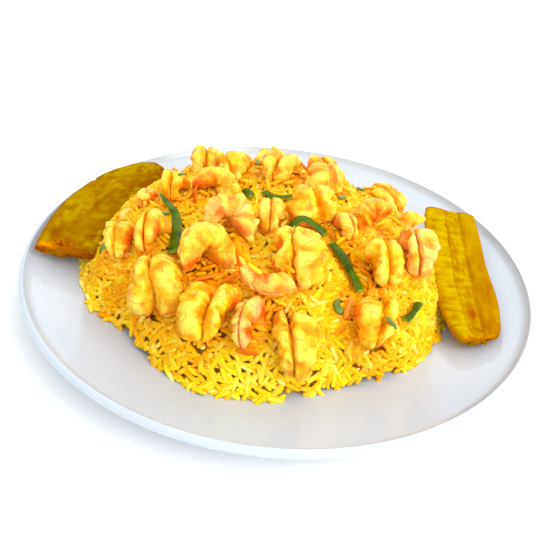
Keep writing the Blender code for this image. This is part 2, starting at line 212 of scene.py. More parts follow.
class Surface:
    """A Principled material that is put together node by node.

    A number, a colour (0 to 255 display values, or linear with alpha) or another node's output may feed a socket."""

    def __init__(self, name, roughness=0.4, coat=0.0, scatter=0.0, reach=0.002, specular=0.5):
        self.material = bpy.data.materials.new(name)
        self.material.use_nodes = True
        self.tree = self.material.node_tree
        self.shader = self.tree.nodes["Principled BSDF"]
        for socket, value in (("Roughness", roughness), ("Coat Weight", coat), ("Coat Roughness", 0.12),
                              ("Specular IOR Level", specular), ("Subsurface Weight", scatter),
                              ("Subsurface Radius", (1.0, 0.6, 0.2)), ("Subsurface Scale", reach)):
            self.set(socket, value)
        self.coords = self.node("ShaderNodeTexCoord").outputs["Object"]

    def set(self, socket, value):
        self.shader.inputs[socket].default_value = value

    def node(self, kind, feeds=(), **settings):
        """A new node; feeds are pairs of a socket and what feeds it."""
        made = self.tree.nodes.new(kind)
        for key, value in settings.items():
            setattr(made, key, value)
        for socket, value in feeds:
            self.feed(value, made.inputs[socket])
        return made

    def feed(self, value, target):
        if isinstance(value, bpy.types.NodeSocket):
            self.tree.links.new(value, target)
        else:
            target.default_value = self.linear(value) if isinstance(value, tuple) else value

    @staticmethod
    def linear(value):
        return linear(*value) if len(value) == 3 else value

    def noise(self, size, detail=3.0, roughness=0.5, coords=None, stretch=None):
        """Noise from 0 to 1 with features of about that size in metres."""
        source = coords or self.coords
        if stretch:
            mapping = self.node("ShaderNodeMapping", [("Vector", source)])
            mapping.inputs["Scale"].default_value = stretch
            source = mapping.outputs["Vector"]
        return self.node("ShaderNodeTexNoise", [("Scale", 1 / size), ("Detail", detail), ("Roughness", roughness),
                                                ("Vector", source)]).outputs["Fac"]

    def cracks(self, size, wander, width, coords):
        """A net of thin wandering lines, 1 on a line, with cells of about that size."""
        push = self.node("ShaderNodeTexNoise", [("Scale", 0.7 / size), ("Detail", 2.0), ("Vector", coords)])
        scaled = self.node("ShaderNodeVectorMath", [(0, push.outputs["Color"]), ("Scale", 2 * wander)],
                           operation="SCALE")
        moved = self.node("ShaderNodeVectorMath", [(0, coords), (1, scaled.outputs["Vector"])], operation="ADD")
        cells = self.node("ShaderNodeTexVoronoi", [("Vector", moved.outputs["Vector"]), ("Scale", 1 / size)],
                          feature="DISTANCE_TO_EDGE")
        return self.ramp(cells.outputs["Distance"], (0.0, 1.0), (width, 0.0))

    def ramp(self, source, *stops):
        """Colours or shares against a value, each stop (position, colour or number)."""
        made = self.node("ShaderNodeValToRGB", [("Fac", source)])
        elements = made.color_ramp.elements
        while len(elements) < len(stops):
            elements.new(0.5)
        for element, (position, value) in zip(elements, stops):
            element.position = position
            element.color = self.linear(value) if isinstance(value, tuple) else (value, value, value, 1)
        return made.outputs["Color"]

    def mix(self, share, low, high, blend="MIX"):
        """low to high by share."""
        return self.node("ShaderNodeMix", [(0, share), (6, low), (7, high)], data_type="RGBA",
                         blend_type=blend).outputs[2]

    def layers(self, base, *layers):
        """Colours laid over a base, each (share, how much of it, colour)."""
        for share, most, colour in layers:
            base = self.mix(share if most == 1 else self.times(share, most), base, colour)
        return base

    def math(self, operation, first, second, clamp=False):
        return self.node("ShaderNodeMath", [(0, first), (1, second)], operation=operation, use_clamp=clamp).outputs[0]

    def times(self, first, second, clamp=False):
        return self.math("MULTIPLY", first, second, clamp)

    def tones(self):
        """The four shares that the mesh carries at each point."""
        made = self.node("ShaderNodeAttribute", attribute_name="tone")
        parts = self.node("ShaderNodeSeparateColor", [("Color", made.outputs["Color"])])
        return (*[parts.outputs[i] for i in range(3)], made.outputs["Alpha"])

    def place(self):
        """Where a point lies on the piece's own skin, in metres along and around it."""
        return self.node("ShaderNodeAttribute", attribute_name="place").outputs["Vector"]

    def colour(self, source):
        self.feed(source, self.shader.inputs["Base Color"])

    def rough(self, source, low, high):
        span = self.node("ShaderNodeMapRange", [("Value", source), ("To Min", low), ("To Max", high)])
        self.feed(span.outputs["Result"], self.shader.inputs["Roughness"])

    def bump(self, source, height, strength=1.0):
        made = self.node("ShaderNodeBump", [("Height", source), ("Distance", height), ("Strength", strength)])
        self.feed(made.outputs["Normal"], self.shader.inputs["Normal"])


def glaze_material():
    surface = Surface("white_glaze", coat=0.15, specular=0.35)
    surface.set("Coat Roughness", 0.08)
    cloud = surface.noise(0.05, detail=2)
    body = surface.ramp(cloud, (0.3, (187, 195, 204)), (0.7, (191, 199, 208)))
    height = surface.node("ShaderNodeSeparateXYZ", [(0, surface.coords)])
    bare = surface.math("LESS_THAN", height.outputs["Z"], 0.0005)
    surface.colour(surface.mix(bare, body, (225, 218, 205)))
    surface.rough(surface.math("ADD", bare, surface.times(cloud, 0.12)), 0.12, 0.6)
    surface.bump(surface.noise(0.012, detail=1), 0.00005, 0.3)
    return surface.material


def rice_material(name, pale, full, deep):
    """tone red: the grain's own tint, green: towards its tips, blue: warmth from orange fat that lies near, with
    painted shade: more orange the deeper a point lies and on each grain's underside.
    """
    surface = Surface(name, scatter=0.25, reach=0.0015, specular=0.05)
    surface.set("Subsurface Radius", (1.0, 0.9, 0.4))
    tint, tip, warm, _ = surface.tones()
    base = surface.ramp(tint, (0.0, pale), (0.45, full), (1.0, deep))
    mottle = surface.noise(0.0016, detail=2)
    # Orange by warmth: the fat's stain, and painted shade deep in the heap and under each grain.
    base = surface.layers(base, (tip, 0.3, pale), (warm, 1, (236, 140, 0)))
    base = surface.mix(0.4, base, surface.ramp(mottle, (0.3, 0.92), (0.7, 1.0)), "MULTIPLY")
    surface.colour(base)
    surface.rough(mottle, 0.3, 0.5)
    surface.bump(surface.noise(0.0007, detail=2), 0.0001, 0.4)
    return surface.material


def core_material():
    surface = Surface("rice_depth", roughness=0.6, scatter=0.5, reach=0.005, specular=0.1)
    grit = surface.noise(0.003, detail=4, roughness=0.7)
    surface.colour(surface.ramp(grit, (0.3, (255, 190, 6)), (0.7, (255, 214, 20))))
    surface.bump(grit, 0.002)
    return surface.material


def shrimp_material():
    """tone red: pale crest with painted highlight, green: orange furrow with painted shade in creases and under the
    body, blue: red shell colour, alpha: pale pink flesh.
    """
    surface = Surface("shrimp_flesh", coat=0.04, scatter=0.2, reach=0.002, specular=0.1)
    pale_crest_and_highlight, furrow_and_shade, red, pink = surface.tones()
    patches = surface.noise(0.005, detail=4)
    fine = surface.noise(0.0012, detail=3, roughness=0.65)
    lines = surface.times(surface.cracks(0.0062, 0.0045, 0.04, surface.place()),
                          surface.ramp(patches, (0.42, 1.0), (0.62, 0.4)))
    base = surface.ramp(patches, (0.32, (224, 146, 2)), (0.46, (240, 180, 8)),
                        (0.58, (250, 206, 24)), (0.72, (252, 220, 54)))
    # The pale cream on the crests is a painted highlight, partly the pale flesh.
    base = surface.layers(base, (pink, 0.85, (255, 200, 136)),
                          (surface.ramp(pale_crest_and_highlight, (0.15, 0.0), (0.7, 0.74)), 1, (252, 226, 92)))
    base = surface.mix(0.6, base, surface.ramp(fine, (0.35, 0.86), (0.6, 1.0)), "MULTIPLY")
    rusty = surface.ramp(fine, (0.3, (222, 60, 4)), (0.7, (252, 118, 14)))
    # The orange in the furrows is painted shade in creases and under the body, partly the seams' own colour.
    surface.colour(surface.layers(base, (lines, 0.7, (212, 84, 0)), (furrow_and_shade, 0.75, (236, 132, 2)), (red, 1, rusty)))
    surface.rough(fine, 0.25, 0.45)
    surface.bump(surface.math("SUBTRACT", surface.times(fine, 0.5), surface.times(lines, 0.6)), 0.0004, 0.6)
    return surface.material


def pepper_material():
    """tone red: skin side, green: cut edge."""
    surface = Surface("green_pepper", coat=0.06, scatter=0.1, reach=0.001, specular=0.15)
    skin, cut, _, _ = surface.tones()
    blotch = surface.noise(0.006, detail=2)
    dark = surface.ramp(blotch, (0.3, (46, 72, 0)), (0.7, (94, 120, 0)))
    flesh = surface.ramp(blotch, (0.3, (104, 138, 2)), (0.7, (146, 164, 20)))
    inside = surface.math("MAXIMUM", cut, surface.math("SUBTRACT", 1.0, skin, True))
    surface.colour(surface.mix(inside, dark, flesh))
    surface.rough(surface.noise(0.002), 0.12, 0.3)
    surface.bump(surface.noise(0.0015, detail=2), 0.0001, 0.3)
    return surface.material


def plantain_material(name, painted_shade):
    """tone red: pale flesh, green: fried brown, blue: dark crust, alpha: bright orange fried rim, partly painted
    light as it is left out of the painted shade; the rest is darkened by a painted shade factor, deeper on the left
    slice than on the right.
    """
    # A colour darkened by the painted shade factor.
    def in_painted_shade(*colour):
        return tuple(share * painted_shade for share in linear(*colour)[:3]) + (1.0,)

    surface = Surface(name, specular=0.0)
    pale, brown, crust, rim = surface.tones()
    skin = surface.place()
    cloud = surface.noise(0.008, detail=5, roughness=0.65, coords=skin, stretch=(0.6, 1.2, 1.0))
    fine = surface.noise(0.0011, detail=3, roughness=0.65)
    cross = surface.noise(0.0035, detail=3, coords=skin, stretch=(2.2, 0.8, 1.0))
    base = surface.ramp(cloud, (0.32, in_painted_shade(206, 132, 0)), (0.48, in_painted_shade(224, 158, 0)), (0.68, in_painted_shade(242, 188, 0)))
    pale = surface.times(pale, surface.ramp(cross, (0.35, 0.45), (0.6, 1.0)), clamp=True)
    brown = surface.times(brown, surface.ramp(cloud, (0.35, 1.0), (0.65, 0.5)))
    toast = surface.ramp(fine, (0.3, in_painted_shade(180, 86, 0)), (0.7, in_painted_shade(214, 122, 0)))
    # The rim's orange is left out of the painted shade: the fried edge's colour, and partly painted light on the
    # slice's sides and near end.
    edge = surface.ramp(fine, (0.3, (196, 104, 0)), (0.65, (226, 148, 2)))
    burnt = surface.ramp(fine, (0.35, (84, 24, 2)), (0.65, (190, 76, 4)))
    surface.colour(surface.layers(base, (pale, 0.95, in_painted_shade(255, 218, 4)), (brown, 1, toast), (rim, 0.8, edge),
                                  (crust, 1, burnt)))
    surface.rough(fine, 0.3, 0.55)
    surface.bump(surface.math("ADD", surface.times(fine, 0.5), cross), 0.0004, 0.6)
    return surface.material


def plain_material(name, low, high, **settings):
    surface = Surface(name, **settings)
    cloud = surface.noise(0.004)
    surface.colour(surface.ramp(cloud, (0.3, low), (0.7, high)))
    surface.rough(cloud, 0.2, 0.45)
    surface.bump(surface.noise(0.001, detail=2), 0.00015, 0.4)
    return surface.material


# ---------------------------------------------------------------- the plate

PLATE_RADIUS = 140 * MM
RIM_HEIGHT = 26 * MM
FLOOR_RADIUS = 85 * MM
FLOOR_HEIGHT = 7.5 * MM
SIDE_CURVE = 1.6
PLATE_WALL = 4.4 * MM
LIP_RADIUS = 2.2 * MM
FOOT_RADII = (83 * MM, 82 * MM, 76 * MM, 75 * MM)
FOOT_DEPTH = 2.4 * MM
PLATE_SIDES = 144
SHARP_EDGE = math.radians(50)


def plate_top(radius):
    """The height of the glaze at a distance from the middle."""
    rise = np.clip((np.asarray(radius) - FLOOR_RADIUS) / (PLATE_RADIUS - FLOOR_RADIUS), 0, 1)
    return FLOOR_HEIGHT + (RIM_HEIGHT - LIP_RADIUS / 2 - FLOOR_HEIGHT) * rise ** SIDE_CURVE


def make_plate():
    side_end = PLATE_RADIUS - 1.7 * LIP_RADIUS
    side = np.linspace(FLOOR_RADIUS, side_end, 18)
    upper = [(radius, FLOOR_HEIGHT) for radius in (20 * MM, 45 * MM, 70 * MM)]
    upper += [(radius, plate_top(radius)) for radius in side]
    turns = np.radians(np.linspace(100, -80, 13))
    lip = [(PLATE_RADIUS - LIP_RADIUS + LIP_RADIUS * math.cos(turn),
            RIM_HEIGHT - LIP_RADIUS + LIP_RADIUS * math.sin(turn)) for turn in turns]
    under = [(radius, plate_top(radius) - PLATE_WALL) for radius in side[-3:1:-2]]
    foot = list(zip(FOOT_RADII, (FOOT_DEPTH, 0, 0, FOOT_DEPTH)))
    profile = np.array(upper + lip + under + foot + [(40 * MM, FOOT_DEPTH)])
    turn = np.arange(PLATE_SIDES) * math.tau / PLATE_SIDES
    rings = np.stack([profile[:, :1] * np.cos(turn), profile[:, :1] * np.sin(turn),
                      np.repeat(profile[:, 1:], PLATE_SIDES, 1)], -1)
    poles = np.array([(0, 0, FLOOR_HEIGHT), (0, 0, FOOT_DEPTH)])
    plate = ring_bodies("plate_glazed", rings[None], poles[None], glaze_material())
    plate.data.set_sharp_from_angle(angle=SHARP_EDGE)
    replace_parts(plate, "plate")


# ---------------------------------------------------------------- heights over the plate

CELL = 0.6 * MM
REACH = 126 * MM
LINE = np.arange(-REACH, REACH, CELL)
GRID_X, GRID_Y = np.meshgrid(LINE, LINE, indexing="ij")


def cell_of(value):
    return np.clip(((value + REACH) / CELL).astype(int), 0, len(LINE) - 1)


def flat_lumps(x, y, size, seed):
    """Lumps that depend only on the place on the plate."""
    return lumps(np.stack([x, y, 0 * x], -1), size, seed)


def tops(node):
    """The cells that a node covers and the height of its top at each."""
    tree = tree_of(node)
    low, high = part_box(node)
    for i in np.flatnonzero((LINE > low.x) & (LINE < high.x)):
        for j in np.flatnonzero((LINE > low.y) & (LINE < high.y)):
            top = top_at(tree, LINE[i], LINE[j])
            if not math.isnan(top):
                yield i, j, top


def heap_heights():
    """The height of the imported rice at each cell, pockets included; the plate's where there is none."""
    ground = plate_top(np.hypot(GRID_X, GRID_Y))
    target = ground.copy()
    for i, j, top in tops("rice_heap"):
        target[i, j] = top
    return ground, target


def food_heights(heights):
    """The grains' heights with the tops of the shrimps, strips and slices over them."""
    over = heights.copy()
    for node in nodes:
        if node not in ("plate", "rice_heap"):
            for i, j, top in tops(node):
                over[i, j] = max(over[i, j], top)
    return over


HEAP_MIDDLE = -6 * MM         # its x; its y is 0
# Reach of the loose edge round the heap's middle, every 15 degrees from the left by the front to the left
EDGE = (105, 105, 103, 94, 97, 104, 103, 97, 95, 101, 102, 103,
        101, 101, 101, 102, 100, 98, 97, 101, 106, 109, 108, 106)
GRAIN_LAYER = 3.4 * MM
HEAPED_ON_SHRIMP = 3.4 * MM
UNEVEN = 1.3 * MM
STRIP_PRESS = 0.8 * MM        # how far a pepper strip presses the grains down


def edge_reach(x, y):
    """How far inside the heap's uneven edge a place lies."""
    share = (np.arctan2(y, x - HEAP_MIDDLE) / math.tau + 0.5) % 1
    reach = spline((*EDGE, EDGE[0]), share) * MM
    ragged = flat_lumps(x, y, 7 * MM, 9.1) * 4 * MM
    return reach + ragged - np.hypot(x - HEAP_MIDDLE, y)


def shrimp_gap(x, y):
    """The distance to the nearest shrimp's side, below 0 within one."""
    gap = np.full(np.shape(x), 1.0)
    for name in nodes:
        if name.startswith("shrimp"):
            low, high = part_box(name)
            radius = min(high.x - low.x, high.y - low.y) / 2
            gap = np.minimum(gap, np.hypot(x - (low.x + high.x) / 2, y - (low.y + high.y) / 2) - radius)
    return gap


def strip_gap(x, y):
    """The distance to the middle line of the nearest pepper strip."""
    gap = np.full(np.shape(x), 1.0)
    for strip in PEPPER_STRIPS:
        for a, b in spline(strip.points, np.linspace(0, 1, 16)) * MM:
            gap = np.minimum(gap, np.hypot(x - a, y - b))
    return gap


def blurred(heights, steps):
    """The mean height within that many cells."""
    out = heights
    for axis in (0, 1):
        out = sum(np.roll(out, shift, axis) for shift in range(-steps, steps + 1)) / (2 * steps + 1)
    return out


def grain_limit(ground, target):
    """How high grains may lie.

    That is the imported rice, more against the shrimps, less at the strips, and a layer at the edge."""
    x, y = GRID_X, GRID_Y
    coarse = (slice(None, None, 4),) * 2
    uneven = flat_lumps(x[coarse], y[coarse], 9 * MM, 5.3)
    uneven = np.kron(uneven, np.ones((4, 4)))[:len(LINE), :len(LINE)] * UNEVEN
    packed = target > ground + 1 * MM
    raised = HEAPED_ON_SHRIMP * (1 - smoothstep(1 * MM, 8 * MM, shrimp_gap(x, y)))
    beside = smoothstep(2.5 * MM, 6 * MM, strip_gap(x, y))
    heaped = packed * ((uneven + raised) * beside - STRIP_PRESS * (1 - beside))
    inside = edge_reach(x, y)
    layer = GRAIN_LAYER * (0.4 + 0.6 * smoothstep(0, 9 * MM, inside)) * (inside > 0)
    spilt = blurred(target - ground, 10) * smoothstep(0, 7 * MM, inside)
    spilt = spilt * (1 - smoothstep(14 * MM, 22 * MM, inside))
    return np.maximum(target + heaped, ground + np.maximum(layer, spilt))


def shrunk(heights, steps):
    """The least height within that many cells."""
    out = heights
    for axis in (0, 1):
        least = out
        for shift in range(1, steps + 1):
            least = np.minimum(least, np.minimum(np.roll(out, shift, axis), np.roll(out, -shift, axis)))
        out = least
    return out


CORE_DEPTH = 3.2 * MM
CORE_RIM = 1.2 * MM           # its height under the loose edge
CORE_FLOAT = 0.2 * MM         # how far its underside keeps off the plate
CORE_STEP = 5                 # cells between the core's points


def make_core(ground, target):
    """A closed lump of massed rice below the loose grains; returns its height at every cell."""
    rim = CORE_RIM * smoothstep(1.5 * MM, 3.5 * MM, edge_reach(GRID_X, GRID_Y))
    height = np.maximum(shrunk(target, 4) - CORE_DEPTH, ground + rim)
    top = height[::CORE_STEP, ::CORE_STEP]
    base = ground[::CORE_STEP, ::CORE_STEP] + CORE_FLOAT
    line = LINE[::CORE_STEP]
    inside = top > base
    inside[[0, -1]] = False
    inside[:, [0, -1]] = False
    count = inside.sum()
    number = np.full(inside.shape, -1)
    number[inside] = np.arange(count)
    used = set()
    faces = []
    edges = {}                # their order is kept, so that the mesh is the same each run
    for i, j in np.argwhere(inside[:-1, :-1] & inside[1:, :-1] & inside[:-1, 1:] & inside[1:, 1:]):
        ring = [number[i, j], number[i + 1, j], number[i + 1, j + 1], number[i, j + 1]]
        used.update(ring)
        faces += [ring, [k + count for k in reversed(ring)]]
        edges.update(dict.fromkeys(zip(ring, ring[1:] + ring[:1])))
    for a, b in edges:
        if (b, a) not in edges:
            faces.append([b, a, a + count, b + count])
    verts = [(line[i], line[j], level[i, j]) for level in (top, base) for i, j in np.argwhere(inside)]
    keep = sorted(used) + [k + count for k in sorted(used)]
    order = {old: new for new, old in enumerate(keep)}
    mesh = bpy.data.meshes.new("rice_core")
    mesh.from_pydata([verts[k] for k in keep], [], [[order[k] for k in face] for face in faces])
    mesh.validate()
    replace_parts(add_piece("rice_core", mesh, core_material()), "rice_heap")
    return height


# ---------------------------------------------------------------- rice

Grain = namedtuple("Grain", "x y z yaw slope length width thickness")
# Where a grain is felt for what lies below it, as shares of its length and width
ALONG = np.array((-0.46, -0.3, -0.15, 0.0, 0.15, 0.3, 0.46))
ACROSS = np.array((-0.35, 0.0, 0.35))
STEEPEST = 1.3
BED_SPACING = 2.3 * MM
RIM_SPACING = 2.6 * MM
FILL_ROUNDS, FILL_TRIES = 18, 2200
LOOSE_TRIES = 60


class Pile:
    """Grains that fall one by one and come to rest on what lies below."""

    def __init__(self, heights, limit, seed):
        self.heights = heights.copy()
        self.limit = limit
        self.random = np.random.default_rng(seed)
        self.grains = []

    def size(self):
        length = np.clip(self.random.normal(7.4, 0.9), 5, 9.2) * MM
        return length, self.random.normal(2.65, 0.2) * MM, self.random.normal(2.25, 0.15) * MM

    def put(self, x, y, level, yaw, tilt, size):
        """Adds a grain that lies on a level, and raises the heights to its top."""
        length, width, thickness = size
        self.grains.append(Grain(x, y, level + thickness / 2 * math.sqrt(1 + tilt ** 2), yaw, tilt, *size))
        half = length / 2
        i0, i1 = cell_of(np.array((x - half, x + half)))
        j0, j1 = cell_of(np.array((y - half, y + half)))
        dx = LINE[i0:i1 + 1, None] - x
        dy = LINE[None, j0:j1 + 1] - y
        along = dx * math.cos(yaw) + dy * math.sin(yaw)
        over = 1 - ((dy * math.cos(yaw) - dx * math.sin(yaw)) / (width / 2)) ** 2
        inside = (over > 0) & (np.abs(along) < half * 0.95)
        top = level + tilt * along + thickness / 2 * (1 + np.sqrt(np.maximum(over, 0)))
        block = self.heights[i0:i1 + 1, j0:j1 + 1]
        block[inside] = np.maximum(block[inside], top[inside])

    def lay_bed(self, ground, spacing, steepest_only=False):
        """Grains close together a little below the limit, or only at the rim and on the flanks.

        Where it is steep, most lie across the slope."""
        even = blurred(self.limit, 5)
        slope_x, slope_y = np.gradient(even, CELL)
        line = np.arange(-REACH + 2 * spacing, REACH - 2 * spacing, spacing)
        x, y = (grid.ravel() for grid in np.meshgrid(line, line, indexing="ij"))
        x, y = (values + self.random.uniform(-0.45, 0.45, len(values)) * spacing for values in (x, y))
        i, j = cell_of(x), cell_of(y)
        high = self.limit[i, j] - ground[i, j]
        steep = np.hypot(slope_x[i, j], slope_y[i, j])
        wanted = (high > 0.9 * MM) & (shrimp_gap(x, y) > -4 * MM)
        if steepest_only:
            wanted &= (high < 5 * MM) | (steep > 0.6)
        for x, y, i, j in zip(x[wanted], y[wanted], i[wanted], j[wanted]):
            size = self.size()
            yaw = self.random.uniform(0, math.tau)
            rise_x, rise_y = slope_x[i, j], slope_y[i, j]
            if self.random.random() < 1.2 * math.hypot(rise_x, rise_y):
                yaw = math.atan2(rise_x, -rise_y) + self.random.normal(0, 0.6)
            tilt = rise_x * math.cos(yaw) + rise_y * math.sin(yaw)
            tilt = float(np.clip(tilt, -1.2, 1.2)) + self.random.normal(0, 0.15)
            level = min(self.limit[i, j], even[i, j]) - self.random.uniform(1.6, 2.7) * MM
            self.put(x, y, max(level, ground[i, j]), yaw, tilt, size)

    def rest(self, x, y, allowed, ways=6):
        """Lays a grain the lowest of several ways it could lie there.

        It is left out if its top would stand further than allowed above the limit."""
        size = self.size()
        length, width, thickness = size
        yaws = self.random.uniform(0, math.tau, ways)
        ahead = np.stack([np.cos(yaws), np.sin(yaws)], 1)
        aside = np.stack([-np.sin(yaws), np.cos(yaws)], 1)
        s = ALONG * length
        spots = (np.array((x, y)) + s[None, :, None, None] * ahead[:, None, None]
                 + (ACROSS * width)[None, None, :, None] * aside[:, None, None])
        i, j = cell_of(spots[..., 0]), cell_of(spots[..., 1])
        under = self.heights[i, j].mean(2)
        level = np.full(ways, -1.0)
        tilt = np.zeros(ways)
        for a in range(3):
            for b in range(3, 7):
                slope = (under[:, b] - under[:, a]) / (s[b] - s[a])
                middle = under[:, a] - slope * s[a]
                higher = middle > level
                level = np.where(higher, middle, level)
                tilt = np.where(higher, slope, tilt)
        limits = self.limit[i, j].mean((1, 2))
        way = int(np.argmin(level - limits))
        if level[way] + thickness - limits[way] <= allowed:
            tilt = float(np.clip(tilt[way], -STEEPEST, STEEPEST)) + self.random.normal(0, 0.1)
            self.put(x, y, level[way], yaws[way], tilt, size)

    def fill(self):
        """Fills up to the limit; the last grains may stand out a little more."""
        for turn in range(FILL_ROUNDS):
            spare = 0.7 * MM * smoothstep(FILL_ROUNDS * 0.5, FILL_ROUNDS, turn)
            open_cells = np.argwhere(self.limit - self.heights > 0.6 * MM)
            if not len(open_cells):
                return
            for i, j in open_cells[self.random.integers(0, len(open_cells), FILL_TRIES)]:
                if self.limit[i, j] - self.heights[i, j] > 0.5 * MM:
                    self.rest(LINE[i], LINE[j], self.random.uniform(0.3, 1.8) * MM + spare)

    def sprinkle(self, food, count):
        """Loose grains on the sides of the shrimps, at up to count places where one may come to rest."""
        self.heights = food + 0.6 * MM
        self.limit = food
        x, y = self.random.uniform(-95, 95, (2, 12000)) * MM
        gap = shrimp_gap(x, y)
        near = (gap > -2.5 * MM) & (gap < 0.5 * MM) & (np.hypot(x, y) < 98 * MM)
        for x, y in list(zip(x[near], y[near]))[:count]:
            self.rest(x, y, 3.2 * MM, ways=10)


# How finely grains are made: where the rings lie along a grain, and their sides
FINE = (np.array((0.03, 0.13, 0.36, 0.64, 0.87, 0.97)), 6)
PLAIN = (np.array((0.04, 0.18, 0.5, 0.82, 0.96)), 6)


def grain_forms(grains, rng, t, sides):
    """Rings and poles of plump long grains with a slight bend, how near a tip and how turned down each point is."""
    count = len(grains)
    x, y, z, yaw, slope, length, width, thickness = np.array(grains).T
    middle = np.stack([x, y, z], 1)[:, None]
    ahead = unit(np.stack([np.cos(yaw), np.sin(yaw), slope], 1))
    aside = np.stack([-np.sin(yaw), np.cos(yaw), np.zeros(count)], 1)
    normal = np.cross(ahead, aside)
    roll = rng.uniform(-0.6, 0.6, count)[:, None]
    side = aside * np.cos(roll) + normal * np.sin(roll)
    top = normal * np.cos(roll) - aside * np.sin(roll)
    full = (1 - np.abs(2 * t - 1) ** 3.6) ** 0.5
    taper = rng.uniform(-0.14, 0.14, count)[:, None]
    full = full[None] * (1 + taper * (2 * t - 1)[None])
    bend = rng.normal(0, 0.05, count)[:, None] * (1 - (2 * t - 1) ** 2)[None]
    centre = middle + ahead[:, None] * (length[:, None] * (t - 0.5))[..., None]
    centre = centre + side[:, None] * (bend * length[:, None])[..., None]
    turn = np.arange(sides) * math.tau / sides
    uneven = 1 + rng.normal(0, 0.05, (count, len(t), sides))
    across = (np.cos(turn) * full[..., None] * (width / 2)[:, None, None] * uneven)[..., None]
    upward = (np.sin(turn) * full[..., None] * (thickness / 2)[:, None, None] * uneven)[..., None]
    rings = centre[:, :, None] + side[:, None, None] * across + top[:, None, None] * upward
    poles = middle + ahead[:, None] * (length[:, None] * (-0.5, 0.5))[..., None]
    tip = np.abs(2 * t - 1) ** 3
    upward = side[:, 2:] * np.cos(turn) + top[:, 2:] * np.sin(turn)
    # The last value, how turned down a point is, feeds painted shade on the grains' undersides.
    return rings, poles, tip, smoothstep(0.55, -0.5, upward)[:, None]


# Places where orange fat has soaked in: x, y and radius
STAINS = (
    (-50, -86, 9), (-34, -90, 9), (-28, -64, 12), (-64, -52, 8), (2, -74, 10), (34, -60, 10), (62, -40, 9),
    (-2, 40, 14), (-90, -28, 14), (-78, -52, 13), (-98, 6, 12), (-84, 26, 14), (-44, -44, 10), (30, -36, 9),
)


def near_warmth(grains):
    """How warm a grain is: orange fat taken up, most among the shrimps and least at the rim and the front, and a
    warmer tint towards the right.
    """
    x, y = np.array([(grain.x, grain.y) for grain in grains]).T
    near = 1 - smoothstep(-2 * MM, 9 * MM, shrimp_gap(x, y))
    field = flat_lumps(x, y, 14 * MM, 3.7)
    stained = 0 * x
    for stain_x, stain_y, radius in STAINS:
        away = np.hypot(x - stain_x * MM, y - stain_y * MM) / (radius * MM)
        stained = np.maximum(stained, np.exp(-away ** 2))
    inner = smoothstep(104 * MM, 80 * MM, np.hypot(x - HEAP_MIDDLE, y))
    fresh = smoothstep(-66 * MM, -94 * MM, y + 0.15 * np.abs(x))
    # A warmer tint towards the right.
    right = smoothstep(0, 50 * MM, x)
    return np.clip(near * 0.55 + field * 0.6 + 0.9 * stained + 0.35 * inner + 0.3 * right - 0.4 * fresh, 0, 1)


RICE_KINDS = (
    # name, share in the open, share where warm, and its pale, full and deep colours
    ("lemon", 0.50, 0.20, (255, 236, 84), (255, 219, 20), (255, 203, 6)),
    ("golden", 0.38, 0.50, (255, 222, 62), (255, 203, 14), (255, 187, 6)),
    ("pale", 0.09, 0.08, (255, 240, 130), (255, 229, 74), (252, 214, 38)),
    ("amber", 0.03, 0.22, (255, 206, 46), (255, 184, 10), (255, 166, 4)),
)


def depth_below(pile, points):
    """How deep points lie below the heap's surface, from 0 at the surface to 1 at 3.2 mm."""
    i, j = cell_of(points[..., 0]), cell_of(points[..., 1])
    return smoothstep(0.2 * MM, 3.2 * MM, pile.limit[i, j] - points[..., 2])


def make_rice(pile, grains, stem, kinds, seed, form):
    """One piece for each kind of grain; near orange fat there are more of the warm kinds."""
    rng = np.random.default_rng(seed)
    warmth = near_warmth(grains)
    chance = rng.random(len(grains))
    floor = np.zeros(len(grains))
    for kind, cool, warm, pale, full, deep in kinds:
        share = cool + (warm - cool) * warmth
        chosen = np.flatnonzero((chance >= floor) & (chance < floor + share))
        floor = floor + share
        rings, poles, tip, underside_shade = grain_forms([grains[k] for k in chosen], rng, *form)
        count = len(chosen)
        tint = np.clip(rng.normal(0.45, 0.25, count), 0, 1)
        tones = np.zeros((*rings.shape[:3], 4))
        tones[..., 0] = tint[:, None, None]
        tones[..., 1] = tip[None, :, None]
        own = warmth[chosen] * rng.uniform(0.2, 0.9, count)
        # Painted shade: points deep in the heap and on a grain's underside take more of the orange warmth.
        tones[..., 2] = np.maximum(np.maximum(own[:, None, None], 0.4 * depth_below(pile, rings)), 0.2 * underside_shade)
        ends = np.zeros((count, 2, 4))
        ends[..., 0] = tint[:, None]
        ends[..., 1] = 1
        ends[..., 2] = np.maximum(own[:, None], 0.4 * depth_below(pile, poles))
        name = f"{stem}_{kind}"
        ring_bodies(name, rings, poles, rice_material(name, pale, full, deep), tones, ends)


# ---------------------------------------------------------------- shrimps

Shrimp = namedtuple("Shrimp", "heading lean start curl size width tail pink red open knob")
